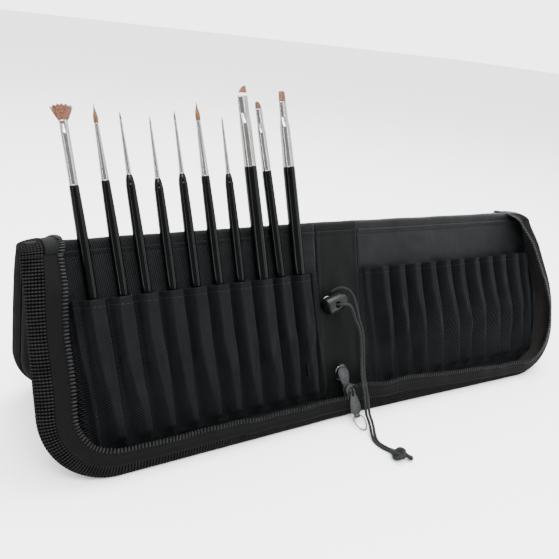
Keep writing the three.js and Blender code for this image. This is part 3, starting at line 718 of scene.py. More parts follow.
def crest_section(front, back, x):
    """Points over the crest from the front hem to the back hem at local x, and their directions out."""
    reach = CREST_RADIUS / math.tan(HALF_ANGLE)
    turn = math.pi - 2 * HALF_ANGLE
    centre = front.at(x, reach, -CREST_RADIUS)
    flank = np.linspace(HEM + 1.6, reach, 10, endpoint=False)
    points = [front.at(x, down, 0) for down in flank]
    heads = [front.out] * len(flank)
    for angle in np.linspace(0, turn, 14):
        toward_front, toward_back = (math.sin(a) / math.sin(turn) for a in (turn - angle, angle))
        head = front.out * toward_front + back.out * toward_back
        points.append(centre + CREST_RADIUS * head)
        heads.append(head)
    points += [back.at(-np.asarray(x), down, 0) for down in flank[::-1]]
    heads += [back.out] * len(flank)
    return np.array(points), np.array(heads)


def blend_over(piece, front, x):
    """Bakes the piece's placement into its mesh; the point on the crest line at local x is worked out but not
    used.
    """
    middle = front.at(x, 0, 0)
    ahead = unit(np.cross(front.x, (0, 0, 1)))
    ahead = -ahead if ahead[1] > 0 else ahead
    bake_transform(piece)


def crest_strip(part, front, back, x0, x1, look, seed):
    """Fabric that joins the front and back halves of one part over the crest."""
    xs = np.linspace(x0, x1, max(12, int(abs(x1 - x0) / 2)))
    outer, inner, uv = [], [], []
    for x in xs:
        points, heads = crest_section(front, back, x)
        travel = travel_along(points)
        over = np.sin(np.pi * travel / travel[-1])
        soft = 0.4 * ripple(np.stack([0 * travel + x * 0.4, travel, 0 * travel], -1), 9, seed)
        outer.append(points + heads * (0.55 * over + soft * over)[:, None])
        inner.append(outer[-1] - heads * 0.7)
        uv.append(np.stack([0 * travel + x, travel], -1))
    piece = shell(f"{part}_crest", np.array(outer), np.array(inner), np.array(uv))
    finish(piece, look)
    blend_over(piece, front, (x0 + x1) / 2)


for quarter in QUARTERS:
    cover_panel(quarter)
spine_panel("front_spine_panel", spine_front, "front_spine")
spine_panel("back_spine_panel", spine_back, "back_spine")
for part, *strip in (
    ("left", left_front, left_back, -199.0, -SPINE_HALF - 0.4, "twill", 2),
    ("spine", spine_front, spine_back, -SPINE_HALF - 0.9, SPINE_HALF + 0.9, "spine", 4),
    ("right", right_front, right_back, SPINE_HALF + 0.4, HALF_WIDTH - SHOULDER - 4.4, "satin", 6),
):
    crest_strip(part, *strip)


# ---- rims: webbing, zipper tape and coil ----------------------------------------------------------
RIM_TOP = 17.2
FOOT_LOW, FOOT_HIGH, FOOT_OFFSET = 4.0, 9.5, 3.1
ARCH_DRAW = 3.4
RIM_START = 12.0
WEB_SHARE = 0.77
TAPE_UNDER_COIL = 2.2
TOOTH_PITCH = 2.0
TOOTH_HALF = 1.5


def rim_curve(lean, lift, bulge, count=36):
    """Offset outside the board's edge and height above the lining, from the base to the zipper."""
    top = RIM_TOP * lift
    wall = [[0.9, -1.0], [2.0, 0.8], [min(bulge, FOOT_OFFSET), FOOT_LOW * lift], [bulge, FOOT_HIGH * lift]]
    turn = [[bulge - 0.2 * lean, top - 3.9 * lift], [bulge - 0.55 * lean, top - 1.5 * lift]]
    edge = [[bulge - lean, top - 0.4], [bulge - lean - TAPE_UNDER_COIL, top - 0.1]]
    return spline(wall + turn + edge, count)


def rim_section(lean, lift, bulge):
    """Outer and inner curves with a step where the webbing's edge lies over the tape."""
    outer = rim_curve(lean, lift, bulge)
    along = np.linspace(0, 1, len(outer))
    t = np.gradient(outer, axis=0)
    normal = unit_rows(np.stack([t[:, 1], -t[:, 0]], 1))
    web = 1 - smooth(along, WEB_SHARE - 0.015, WEB_SHARE + 0.015)
    recess = 0.75 * (1 - web)
    thick = 0.9 + 0.7 * web
    return outer - normal * recess[:, None], outer - normal * thick[:, None] - normal * recess[:, None], along


def rim_path(draw_in, start, step=0.6):
    """Stations (x, down, outward x, outward down) from the crest round the corner to the spine."""
    side = [(HALF_WIDTH - shoulder(draw_in, down), down, 1.0, 0.0)
            for down in np.arange(RIM_START, CORNER_TOP, step)]
    turns = [(math.cos(a), math.sin(a)) for a in np.arange(0, math.pi / 2, step / CORNER)]
    arc = [(HALF_WIDTH - CORNER + CORNER * c, CORNER_TOP + CORNER * s, c, s) for c, s in turns]
    bottom = [(x, PANEL_END, 0.0, 1.0) for x in np.arange(HALF_WIDTH - CORNER, start + step / 2, -step)]
    return np.array(side + arc + bottom + [(start, PANEL_END, 0.0, 1.0)])


def lean_at(station, leans):
    crest, side, bottom = leans
    x, down, _, outward_down = station
    if outward_down <= 0:
        return mix(crest, side, down / CORNER_TOP)
    corner = math.asin(min(1, outward_down)) / (math.pi / 2)
    far = (HALF_WIDTH - CORNER - x) / (HALF_WIDTH - CORNER)
    return mix(side, bottom, 0.4 * corner + 0.6 * float(np.clip(far, 0, 1)))


def lift_at(down):
    return mix(0.4, 1.0, float(smooth(down, 0, 34)))


def wave_at(station, side, size=24):
    """The tape's slow waviness at a place, the same for pieces that meet there."""
    return noise.noise(Vector((side * station[0] / size, station[1] / size, 3.7)))


def place(face, side, station, offset, height, bend=None):
    x, down, ox, od = station
    where = face if bend is None else bend(side * x)
    return where.at(side * (x + ox * offset), down + od * offset, height)


def rim_rings(face, side, stations, leans, bulge, draw_in=0.0, bend=None):
    """Outer and inner points of the rim at each station."""
    outer_rows, inner_rows = [], []
    for station in stations:
        still = float(smooth(station[1], RIM_START, 40))
        lean = lean_at(station, leans) + 1.5 * still * wave_at(station, side)
        full = mix(0.4 if draw_in else 0.8, 1.0, float(smooth(station[1], 5, 70)))
        outer, inner, along = rim_section(lean, lift_at(station[1]), bulge * full)
        drop = 1.3 * still * wave_at(station, side, 15) * along**3
        outer_rows.append(place(face, side, station, outer[:, 0], outer[:, 1] + drop, bend))
        inner_rows.append(place(face, side, station, inner[:, 0], inner[:, 1] + drop, bend))
    return np.array(outer_rows), np.array(inner_rows)


def middle_of(rings):
    """The line half way across a row of rings."""
    return rings[:, rings.shape[1] // 2]


def rim_pieces(name, outer, inner, start_at=0.0, plain=False):
    """Webbing, tape and coil from rings of points; start_at is how far the weave has already run."""
    travel = start_at + travel_along(middle_of(outer))
    across = travel_along(outer[0])
    uv = np.stack(np.meshgrid(travel, across, indexing="ij"), -1)
    normal = unit_rows(outer - inner)
    fade = np.sin(np.pi * np.clip(np.linspace(0, 1, outer.shape[1]) / WEB_SHARE, 0, 1)) ** 0.3
    ribs = 0.13 * (np.sin(2 * math.pi * travel / RIB)[:, None] * fade[None] - 1)
    ribbed = outer if plain else outer + normal * ribs[..., None]
    split = int(WEB_SHARE * (outer.shape[1] - 1)) + 1
    web = shell(f"{name}_webbing", ribbed[:, :split], inner[:, :split], uv[:, :split])
    tape = shell(f"{name}_tape", outer[:, split - 2:], inner[:, split - 2:], uv[:, split - 2:])
    coil = coil_teeth(f"{name}_coil", outer[:, -3:], normal[:, -1])
    return web, tape, coil


def coil_teeth(name, edge, normal):
    """Moulded coil: one rounded loop after another along the tape's edge."""
    tip, root = edge[:, -1], edge[:, 0]
    inward = unit_rows(tip - root)
    along = unit_rows(np.gradient(tip, axis=0))
    bodies, faces = [], []
    u = angles(8)
    v = np.linspace(0.12, math.pi - 0.12, 7)
    travel = travel_along(tip)
    for middle in np.linspace(0, travel[-1], max(2, round(travel[-1] / TOOTH_PITCH)), endpoint=False) + 0.5:
        at = [np.array([np.interp(middle, travel, arr[:, k]) for k in range(3)])
              for arr in (tip, inward, normal, along)]
        start = len(bodies) * len(u) * len(v)
        lump = np.sin(v)[:, None] ** 0.5
        ring = (np.cos(v)[:, None, None] * -TOOTH_HALF * at[1]
                + (lump * np.cos(u))[..., None] * 0.62 * at[3]
                + (lump * np.sin(u))[..., None] * 0.8 * at[2])
        bodies.append(at[0] + 0.75 * at[1] + 0.45 * at[2] + ring)
        for r in range(len(v) - 1):
            for c in range(len(u)):
                d = (c + 1) % len(u)
                a = start + r * len(u)
                faces.append((a + c, a + d, a + len(u) + d, a + len(u) + c))
        faces.append(tuple(start + c for c in range(len(u)))[::-1])
        faces.append(tuple(start + (len(v) - 1) * len(u) + c for c in range(len(u))))
    return orient(new_object(name, np.array(bodies), faces))


def dress_rim(pieces, body=None, replaces=((), (), ())):
    looks = (("webbing", "webbing"), ("tape", "webbing"), ("coil", "zipper_coil"))
    for piece, (look, slot), nodes in zip(pieces, looks, replaces):
        finish(piece, look, body, nodes)


def bottom_run(x0, x1, step=0.6):
    count = int(abs(x1 - x0) / step) + 1
    return np.array([(x, PANEL_END, 0.0, 1.0) for x in np.linspace(x0, x1, count)])


def between(one, two, edge0, edge1):
    """A face that turns from one to the other as |x| goes from edge0 to edge1."""

    def pick(x):
        t = float(smooth(abs(x), edge0, edge1))
        return Face(mix(one.origin, two.origin, t), mix(one.x, two.x, t), mix(one.up, two.up, t))

    return pick


def add_rims():
    """Each quarter's rim, and for the front ones the run that goes on to the slider."""
    runs = {"front_left": -SLIDER_X + 1.2, "front_right": SLIDER_X + 1.2}
    ends = {}
    for quarter in QUARTERS:
        name, face, side = quarter["name"], quarter["face"], quarter["side"]
        stations = rim_path(quarter["draw_in"], quarter["start"])
        rings = rim_rings(face, side, stations, quarter["leans"], quarter["bulge"], quarter["draw_in"])
        ends[name] = (rings[0][0], rings[1][0])
        dress_rim(rim_pieces(name, *rings), name, ([f"{name}_rim"], (), [f"{name}_zipper_teeth"]))
        if name in runs:
            bend = between(spine_front, face, SPINE_HALF - 6, SPINE_HALF + 14)
            bottom = rim_rings(face, side, bottom_run(quarter["start"], runs[name]), quarter["leans"],
                               quarter["bulge"], bend=bend)
            pieces = rim_pieces(f"{name}_bottom", *bottom, start_at=length_of(middle_of(rings[0])))
            dress_rim(pieces)
            for piece in pieces:
                start, end = (spine_front.at(side * (SPINE_HALF + d), 100, 4) * MM for d in (-5, 5))
                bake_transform(piece)
    back = rim_rings(spine_back, 1, bottom_run(17.2, -17.2), (10,) * 3, BACK_BULGE)
    dress_rim(rim_pieces("spine_bottom", *back), "back_spine")
    return ends


def arch(front_ring, back_ring, front_up, back_up, steps=22):
    """Rings that arch over the crest from one ring to the other; they rise and draw in most at the zipper."""
    low, high = (3.0, 2.8) if front_ring[0][0] > 0 else (2.2, 4.4)
    rise = np.linspace(low, high, len(front_ring))[:, None]
    a, d = front_ring, back_ring
    b, c = a + front_up * rise / 0.71, d + back_up * rise / 0.71
    inward = np.array([-np.sign(front_ring[0][0]), 0, 0])
    drawn = ARCH_DRAW * np.linspace(0, 1, len(front_ring))[:, None] ** 2 * inward
    return np.array([(1 - t) ** 3 * a + 3 * t * (1 - t) ** 2 * b + 3 * t * t * (1 - t) * c + t**3 * d
                     + math.sin(math.pi * t) * drawn for t in np.linspace(0, 1, steps)])


def add_crest_rims(ends):
    """Webbing, tape and coil over each end of the crest."""
    for side, front, back in (("left", left_front, left_back), ("right", right_front, right_back)):
        one, two = f"front_{side}", f"back_{side}"
        outer, inner = (arch(ends[one][k], ends[two][k], front.up, back.up) for k in (0, 1))
        front_ring_x = ends[one][0][0][0]
        pieces = rim_pieces(f"{side}_end", outer, inner, plain=True)
        dress_rim(pieces)
        for piece in pieces:
            blend_over(piece, front, math.copysign(HALF_WIDTH, front_ring_x))


add_crest_rims(add_rims())

# ---- brushes: places, hair starts and handles are the CAD's; tips, roots and heads are this file's ----
BRUSH_KEYS = ("x", "lean", "tip", "hair", "top", "grip", "neck", "root", "head")
BRUSHES = [dict(zip(BRUSH_KEYS, sizes)) for sizes in (
    (-168.2, 4.1, 67.2, 58.3, 24.2, 3.1, 2.6, (2.2, 0.9), "fan"),
    (-151.2, 4.0, 68.4, 57.2, 26.4, 3.1, 2.4, (1.0, 1.0), "point"),
    (-137.4, 4.1, 64.6, 59.2, 29.4, 3.1, 2.5, (0.5, 0.5), "liner"),
    (-122.0, 3.3, 62.8, 56.9, 26.9, 3.1, 2.5, (0.5, 0.5), "liner"),
    (-107.0, 3.2, 66.4, 59.8, 29.4, 3.1, 2.5, (0.55, 0.55), "liner"),
    (-92.2, 3.4, 72.0, 59.9, 27.7, 3.2, 2.6, (1.1, 1.1), "point"),
    (-77.2, 3.0, 63.8, 59.1, 28.9, 3.1, 2.4, (0.5, 0.5), "liner"),
    (-61.8, 3.2, 82.6, 75.3, 32.9, 4.2, 4.0, (3.3, 1.3), "angle"),
    (-48.3, 4.6, 73.9, 68.4, 30.1, 3.3, 3.0, (2.1, 1.0), "rounded"),
    (-34.2, 2.8, 80.6, 73.2, 32.3, 4.1, 3.9, (2.4, 1.1), "flat"),
)]
HAIR_LOOKS = ["copper_hair", "golden_hair", "red_hair", "pale_hair", "red_hair",
              "golden_hair", "pale_hair", "copper_hair", "red_hair", "copper_hair"]
TAIL = 70.0  # handle length below the pocket mouth
COLLAR = 4.8
BOUND_BRUSH = 8  # the one with a white binding
HAIR_POINTS = 6  # along each hair
THIRD_TURN = 2.094


def ovals(name, axis, stations, sides=40, square=2.0):
    """Body along a brush's axis through [height, half width, half depth] stations."""
    origin, along, across, out = axis
    angle = angles(sides)
    c, s = np.cos(angle), np.sin(angle)
    c, s = np.sign(c) * np.abs(c) ** (2 / square), np.sign(s) * np.abs(s) ** (2 / square)
    rings = [origin + along * h + (c * w)[:, None] * across + (s * d)[:, None] * out for h, w, d in stations]
    heights = [station[0] for station in stations]
    return loft(name, rings, heights, np.linspace(0, 2 * math.pi * 3, sides + 1))


def fine_stations(stations, count):
    """Stations along straight sides between the given ones, filled in evenly."""
    s = np.array(stations, float)
    h = np.unique(np.r_[np.linspace(s[0, 0], s[-1, 0], count), s[:, 0]])
    return [[value, *(np.interp(value, s[:, 0], s[:, k]) for k in range(1, 3))] for value in h]


def handle_stations(brush):
    top, grip, neck = MOUTH + brush["top"], brush["grip"], brush["neck"]
    stations = [[-TAIL, 0.3], [-TAIL + 0.3, 0.9], [-TAIL + 1.0, 1.3], [-TAIL + 3, 1.55], [-55, 0.6 * grip],
                [-40, 0.76 * grip], [-20, 0.9 * grip], [0, 0.98 * grip], [0.2 * top, grip], [0.5 * top, grip],
                [0.75 * top, mix(grip, neck, 0.45)]]
    if brush["head"] == "liner":
        cone = neck - 0.85
        collar = top - COLLAR
        stations += [[collar - 0.5, neck + 0.12], [collar - 0.25, neck - 0.12], [collar, neck + 0.02],
                     [top - 0.5 * COLLAR, mix(neck, cone, 0.35)], [top - 0.4, cone + 0.1], [top, cone - 0.15]]
    else:
        stations += [[top - 0.4, neck], [top - 0.1, neck - 0.12], [top, neck - 0.35]]
    return fine_stations([[h, r, r] for h, r in stations], 70)


def ferrule_stations(brush):
    start, root = MOUTH + brush["top"] - 0.4, MOUTH + brush["hair"]
    half, depth = brush["root"]
    liner = brush["head"] == "liner"
    flat = half > 1.5 * depth
    neck = brush["neck"] - (1.1 if liner else 0.28)
    length = root - start
    stations = [[start, neck, neck], [start + 0.25, neck + 0.1, neck + 0.1], [start + 0.6, neck, neck]]
    if flat:
        bend = 0.62 if brush["head"] != "fan" else 0.8
        stations += [[start + bend * length, mix(neck, half, 0.35), mix(neck, depth, 0.3)],
                     [start + (bend + 0.06) * length, mix(neck, half, 0.5), mix(neck, depth, 0.62)],
                     [start + (bend + 0.14) * length, mix(neck, half, 0.75), mix(neck, depth, 0.88)]]
    stations += [[root - 1.0, half + 0.14, depth + 0.14], [root - 0.15, half + 0.12, depth + 0.12],
                 [root, half - 0.05, depth - 0.05]]
    return fine_stations([list(station) for station in stations], 70)


def strand_path(kind, u, v, size, half, depth):
    """Hair from its root at (u, v) in the ferrule to its own tip."""
    t = np.linspace(0, 1, HAIR_POINTS)
    if kind == "fan":
        spread = 1 + 1.95 * t**0.85
        reach = size * (1 - 0.2 * abs(u) ** 2 + 0.05 * math.sin(19 * u))
        return u * half * spread, v * depth * (1 - 0.75 * t), reach * t
    if kind in ("point", "liner"):
        belly = 1 + (0.42 if kind == "point" else 0.1) * np.sin(np.pi * t**0.75)
        taper = belly * (1 - t**3.2 * 0.92)
        reach = size * (1 - 0.22 * math.hypot(u, v))
        return u * half * taper, v * depth * taper, reach * t
    if kind == "angle":
        reach = size * (0.86 - 0.26 * (u - 0.35) ** 2 - (0.1 if u < 0 else 0) * u * u + 0.16 * u)
    elif kind == "rounded":
        reach = size * (0.95 - 0.3 * (u + 0.35) ** 2)
    else:
        reach = size * (0.97 - 0.05 * u * u)
    return u * half * (1.05 - 0.1 * t), v * depth * (1 - 0.7 * t), reach * t


def hair_tuft(name, axis, brush):
    """Many fine tapered hairs that together have the head's shape."""
    kind, (half, depth) = brush["head"], brush["root"]
    size = brush["tip"] - brush["hair"]
    origin, along, across, out = axis
    count = {"fan": 420, "point": 230, "liner": 90}.get(kind, 330)
    thick = {"fan": 0.15, "point": 0.17, "liner": 0.13}.get(kind, 0.2)
    bend = np.linspace(0, 1, HAIR_POINTS)
    last = 3 * (HAIR_POINTS - 1)
    points, faces = [], []
    for _ in range(count):
        r, a = math.sqrt(rng.random()) * 0.95, rng.random() * 2 * math.pi
        xs, ys, hs = strand_path(kind, r * math.cos(a), r * math.sin(a), size, half, depth)
        jitter = 0.06 * rng.standard_normal(2) * (2.6 if kind == "fan" else 1)
        line = origin + (MOUTH + brush["hair"] - 0.8 + hs)[:, None] * along
        line = line + (xs + jitter[0] * bend)[:, None] * across
        line = line + (ys + jitter[1] * bend)[:, None] * out
        base = len(points)
        for i, p in enumerate(line):
            w = thick * (1 - 0.55 * (i / (HAIR_POINTS - 1)) ** 3)
            for k in range(3):
                b = THIRD_TURN * k
                points.append(p + w * (math.cos(b) * across + math.sin(b) * out))
        for i in range(HAIR_POINTS - 1):
            for k in range(3):
                a0, a1 = base + 3 * i + k, base + 3 * i + (k + 1) % 3
                faces.append((a0, a1, a1 + 3, a0 + 3))
        faces.append((base + 2, base + 1, base))
        faces.append((base + last, base + last + 1, base + last + 2))
    return orient(new_object(name, np.array(points), faces))


def add_brush(number, brush, look):
    label = f"brush_{number:02d}"
    slide = unit(JOINTS[f"{label}_slide"]["axis"])
    out = unit(left_front.out)
    across = np.cross(slide, out)
    origin = left_front.at(brush["x"], MOUTH, brush["grip"] + 0.6)
    axis = (origin, slide, across, out)
    finish(ovals(f"{label}_handle_body", axis, handle_stations(brush)), "lacquer", label,
           [f"{label}_handle"])
    ferrule = ovals(f"{label}_ferrule_body", axis, ferrule_stations(brush), 40, 2.25)
    finish(ferrule, "nickel", label, [f"{label}_ferrule"])
    finish(hair_tuft(f"{label}_hair", axis, brush), look, label, [f"{label}_bristles"])
    if number == BOUND_BRUSH:
        root = MOUTH + brush["hair"]
        half, depth = brush["root"]
        stations = [[root - 0.1, half + 0.02, depth], [root + 0.2, half + 0.12, depth],
                    [root + 1.5, half + 0.1, 0.8 * depth], [root + 1.8, half, 0.7 * depth]]
        band = ovals(f"{label}_binding", axis, stations)
        finish(band, "white_band", label)


for number, (brush, look) in enumerate(zip(BRUSHES, HAIR_LOOKS), start=1):
    add_brush(number, brush, look)


# ---- pocket rows ---------------------------------------------------------------------------------
def pocket_profile(t, full, pinch):
    """Height of a pocket across its width; where it is pinched, its ridge narrows toward the right."""
    low, high, ridge = (0.08, 0.28, 0.6) if full else (0.12, 0.36, 0.74)
    return smooth(t, low, mix(high, ridge, pinch)) * smooth(1 - t, low, mix(high, 0.24, pinch))


def pocket_points(row, t_index, down, lift=0.0):
    """Points of the cloth: t_index runs 0..number of pockets, down is the slant distance."""
    seams = row["seams"]
    k = np.clip(np.floor(t_index).astype(int), 0, len(seams) - 2)
    t = t_index - k
    x = mix(seams[k], seams[k + 1], t)
    lean = np.tan(mix(row["leans"][k], row["leans"][k + 1], t))
    pinch = smooth(down, row["pinch_from"], POCKET_END - 6)
    rise = pocket_profile(t, row["full"], pinch) ** (1 + row["pinch"] * pinch)
    slimmer = mix(1.0, row["slim"], smooth(down, 72, 114))
    belly = row["belly"][k] * slimmer * (1 - smooth(down, 116, POCKET_END - 0.5))
    fold = row["fold"][k] * (smooth(down, row["fold_from"], 98) - 0.35 * smooth(down, 100, POCKET_END)) * rise
    sway = 0.45 * np.sin(down / 11 + 2.1 * k) * rise * smooth(down, MOUTH + 6, 80)
    cloth = np.stack([x * 1.4, down * 0.35, 0 * x], -1)
    wrinkle = 0.6 * ripple(cloth, 5.5, row["seed"]) * (0.3 + smooth(down, MOUTH, 90))
    hem = 0.3 * swell(down, MOUTH + 0.8, 0.9)
    height = 0.75 + belly * rise + wrinkle * (0.3 + rise) * (1 - smooth(down, 116, POCKET_END)) + hem + lift
    dip = row["dip"] * (1 - rise) * smooth(MOUTH + 14 - down, 0, 14)
    return row["face"].at(x + lean * (down - MOUTH) + fold + sway, down + dip, height)


def pocket_row(row):
    count = len(row["seams"]) - 1
    t_index = np.linspace(0, count - 1e-6, 26 * count)
    downs = np.unique(np.r_[np.linspace(MOUTH, MOUTH + 4, 8), np.linspace(MOUTH + 4, POCKET_END, 64)])
    tt, dd = np.meshgrid(t_index, downs)
    first, last = (row["face"].at(np.full(len(downs), row[end]), downs, 0.75)[:, None]
                   for end in ("inner", "outer"))
    behind_edge = 0.5 * row["face"].out
    front = np.concatenate([first, pocket_points(row, tt, dd), last], 1)
    behind = np.concatenate([first - behind_edge, pocket_points(row, tt, dd, -0.65), last - behind_edge], 1)
    across = travel_along(front[6])
    uv = np.stack(np.meshgrid(across, downs), -1)
    piece = shell(f"{row['name']}_cloth", front, behind, uv)
    finish(piece, "pocket", row["body"], [row["name"]])
    return piece


def stitches(name, points, body, long=2.0, gap=1.0, radius=0.2):
    """Short thread segments that follow a line of points."""
    points = np.asarray(points, float)
    travel = travel_along(points)
    parts = []
    for start in np.arange(gap, travel[-1] - long, long + gap):
        line = points_at(np.linspace(start, start + long, 4), travel, points)
        parts.append(tube("stitch", line, [0.1, radius, radius, 0.1], 6))
    piece = joined(name, parts)
    piece.data.shade_smooth()
    return finish(piece, "thread", body)


def make_rows():
    centres = [brush["x"] for brush in BRUSHES]
    leans = np.radians([brush["lean"] for brush in BRUSHES])
    middle = [(a + b) / 2 for a, b in zip(centres, centres[1:])]
    seams = np.array([-181.0, centres[0] - PITCH / 2, *middle, centres[-1] + PITCH / 2, -19.4])
    between_leans = (leans[:-1] + leans[1:]) / 2
    seam_leans = np.array([leans[0], leans[0], *between_leans, leans[-1], leans[-1]])
    left = dict(name="left_pocket_row", face=left_front, body="front_left", seams=seams, leans=seam_leans,
                full=True, belly=np.array([4.6, *[9.7] * 7, 11.2, 9.8, 11.2, 5.0]),
                inner=-ROW_OUTER, outer=-19.0, fold=0.2 + 0.7 * rng.random(12),
                fold_from=62, pinch_from=68, pinch=0.5, slim=0.7, seed=3, dip=0.9)
    right_seams = np.array([18.9, *(FIRST_POCKET - PITCH / 2 + PITCH * np.arange(11)), 185.4])
    right = dict(name="right_pocket_row", face=right_front, body="front_right", seams=right_seams,
                 leans=np.full(13, POCKET_LEAN), full=False, inner=18.5, outer=185.8, seed=8, dip=1.6,
                 belly=np.array([3.2, *(8.6 + 1.2 * rng.random(10)), 7.4]),
                 fold_from=MOUTH, pinch_from=52, pinch=1.4, slim=0.5,
                 fold=np.array([0.4, 0.6, 1.0, 2.2, 4.6, 6.2, 4.8, 5.2, 7.0, 5.0, 3.8, 2.6]))
    return left, right


for row in make_rows():
    pocket_row(row)
    count = len(row["seams"]) - 1
    t_index = np.linspace(0, count - 1e-6, 60 * count)
    line = pocket_points(row, t_index, np.full_like(t_index, MOUTH + 4.2), 0.1)
    stitches(f"{row['name']}_hem_stitches", line, row["body"])
    for k in range(1, count):
        downs = np.linspace(MOUTH + 1, POCKET_END - 8, 60)
        line = pocket_points(row, np.full_like(downs, k + 1e-6), downs, 0.1)
        stitches(f"{row['name']}_seam_{k:02d}", line, row["body"])

for quarter in QUARTERS:
    xs = quarter["side"] * np.linspace(SPINE_HALF + 3, HALF_WIDTH - 14, 400)
    line = quarter["face"].at(xs, HEM_STITCH, 0.15)
    stitches(f"{quarter['name']}_hem_stitches", line, quarter["name"])


# ---- drawcord lock and eyelets ---------------------------------------------------------------------
def lathe(name, origin, along, profile, sides=48, closed=False):
    """Turned body: profile is [distance along, radius] pairs."""
    along = unit(along)
    side = unit(np.cross(along, (0.3, 0.1, 1)))
    other = np.cross(along, side)
    angle = angles(sides)
    ring = np.cos(angle)[:, None] * side + np.sin(angle)[:, None] * other
    rings = [origin + along * h + r * ring for h, r in profile]
    heights = [p[0] for p in profile]
    return mark_sharp(loft(name, rings, heights, np.linspace(0, 20, sides + 1), closed, not closed), 35)


def drill(piece, origin, along, radius, reach=30):
    """Cuts a round hole right through."""
    tool = lathe("tool", origin - unit(along) * reach / 2, along, [[0, radius], [reach, radius]], 32)
    cut = piece.modifiers.new("cut", "BOOLEAN")
    cut.operation = "DIFFERENCE"
    cut.solver = "EXACT"
    cut.object = tool
    graph = bpy.context.evaluated_depsgraph_get()
    mesh = bpy.data.meshes.new_from_object(piece.evaluated_get(graph))
    piece.modifiers.clear()
    piece.data = mesh
    bpy.data.objects.remove(tool)
    piece.data.shade_smooth()
    mark_sharp(piece, 35)


def add_cord_lock():
    c, s = math.cos(LOCK["tilt"]), math.sin(LOCK["tilt"])
    along = c * spine_front.x + s * spine_front.up
    out = spine_front.out
    centre = spine_front.at(LOCK["x"], LOCK["down"], LOCK["out"])
    half, r, bore = LOCK["length"] / 2, LOCK["radius"], LOCK["bore"]
    body = lathe("lock_barrel", centre, along, [
        [-half, 0.2], [-half, r - 1.1], [-half + 0.25, r - 0.5], [-half + 0.9, r],
        [half - 0.9, r], [half - 0.25, r - 0.4], [half, r - 0.9], [half, bore],
        [-half + 1.6, bore], [-half + 1.6, 0.2]])
    drill(body, centre, out, LOCK["hole"] + 0.25)
    finish(body, "lock", "cord_lock", ["cord_lock_barrel"])
    end, length = half + 3.2, 10.4
    plunger = lathe("lock_plunger", centre, along, [
        [end - length, 0.2], [end - length, 3.8], [end - 1.2, 3.8], [end - 0.4, 3.5], [end, 2.8],
        [end - 0.15, 2.2], [end - 0.3, 0.2]])
    drill(plunger, centre + along * 1.2, out, LOCK["hole"] + 1.2)
    finish(plunger, "lock_dark", "cord_lock_button", ["cord_lock_plunger"])
    turns = np.linspace(0, 2.5 * 2 * math.pi, 90)
    start, stop = -half + 2.25, end - length - 0.65
    side, other = out, np.cross(along, out)
    coil = (centre + np.linspace(start, stop, 90)[:, None] * along + 2.7 * np.cos(turns)[:, None] * side
            + 2.7 * np.sin(turns)[:, None] * other)
    finish(tube("lock_spring", coil, 0.35, 8), "steel", "cord_lock", ["cord_lock_spring"])


def add_eyelet(name, face, body, node):
    centre = face.at(LOCK["x"] * face.x[0], LOCK["down"], 0)
    ring = lathe(name, centre, face.out, [
        [0.3, 3.4], [0.3, 4.6], [0.55, 4.8], [0.85, 4.5], [0.95, 3.6], [0.85, 2.7], [0.4, 2.6],
        [-3.4, 2.6], [-3.85, 2.8], [-3.9, 4.5], [-3.6, 4.8], [-3.3, 4.6], [-3.3, 3.4]], 48, closed=True)
    finish(ring, "steel", body, [node])


add_cord_lock()
add_eyelet("front_eyelet_ring", spine_front, "front_spine", "front_eyelet")
add_eyelet("back_eyelet_ring", spine_back, "back_spine", "back_eyelet")

# ---- slider and pulls ----------------------------------------------------------------------------
SLIDER_DOWN, SLIDER_OUT = 119.5, 13.2


def plate(name, outline, axes, thick, bevel=0.35, holes=()):
    """Flat piece with rounded edges; axes are origin, x, y and normal."""
    origin, ax, ay, an = axes
    work = bmesh.new()
    edges = []
    for loop in [outline, *holes]:
        verts = [work.verts.new((origin + p[0] * ax + p[1] * ay - an * thick / 2) * MM) for p in loop]
        edges += [work.edges.new((a, b)) for a, b in zip(verts, verts[1:] + verts[:1])]
    bmesh.ops.triangle_fill(work, edges=edges, use_beauty=True, use_dissolve=True)
    grown = bmesh.ops.extrude_face_region(work, geom=list(work.faces))
    moved = [v for v in grown["geom"] if isinstance(v, bmesh.types.BMVert)]
    bmesh.ops.translate(work, verts=moved, vec=Vector(an * thick * MM))
    bmesh.ops.recalc_face_normals(work, faces=work.faces)
    rim = [e for e in work.edges if len(e.link_faces) == 2 and e.calc_face_angle(0) > 1.0]
    bmesh.ops.bevel(work, geom=rim, offset=bevel * MM, segments=3, affect="EDGES", profile=0.6)
    mesh = bpy.data.meshes.new(name)
    work.to_mesh(mesh)
    work.free()
    mesh.shade_smooth()
    return mark_sharp(add_object(name, mesh), 50)


def circle_points(radius, count=28, centre=(0, 0), squash_y=1.0):
    angle = angles(count)
    return np.stack([centre[0] + radius * np.cos(angle), centre[1] + squash_y * radius * np.sin(angle)], 1)


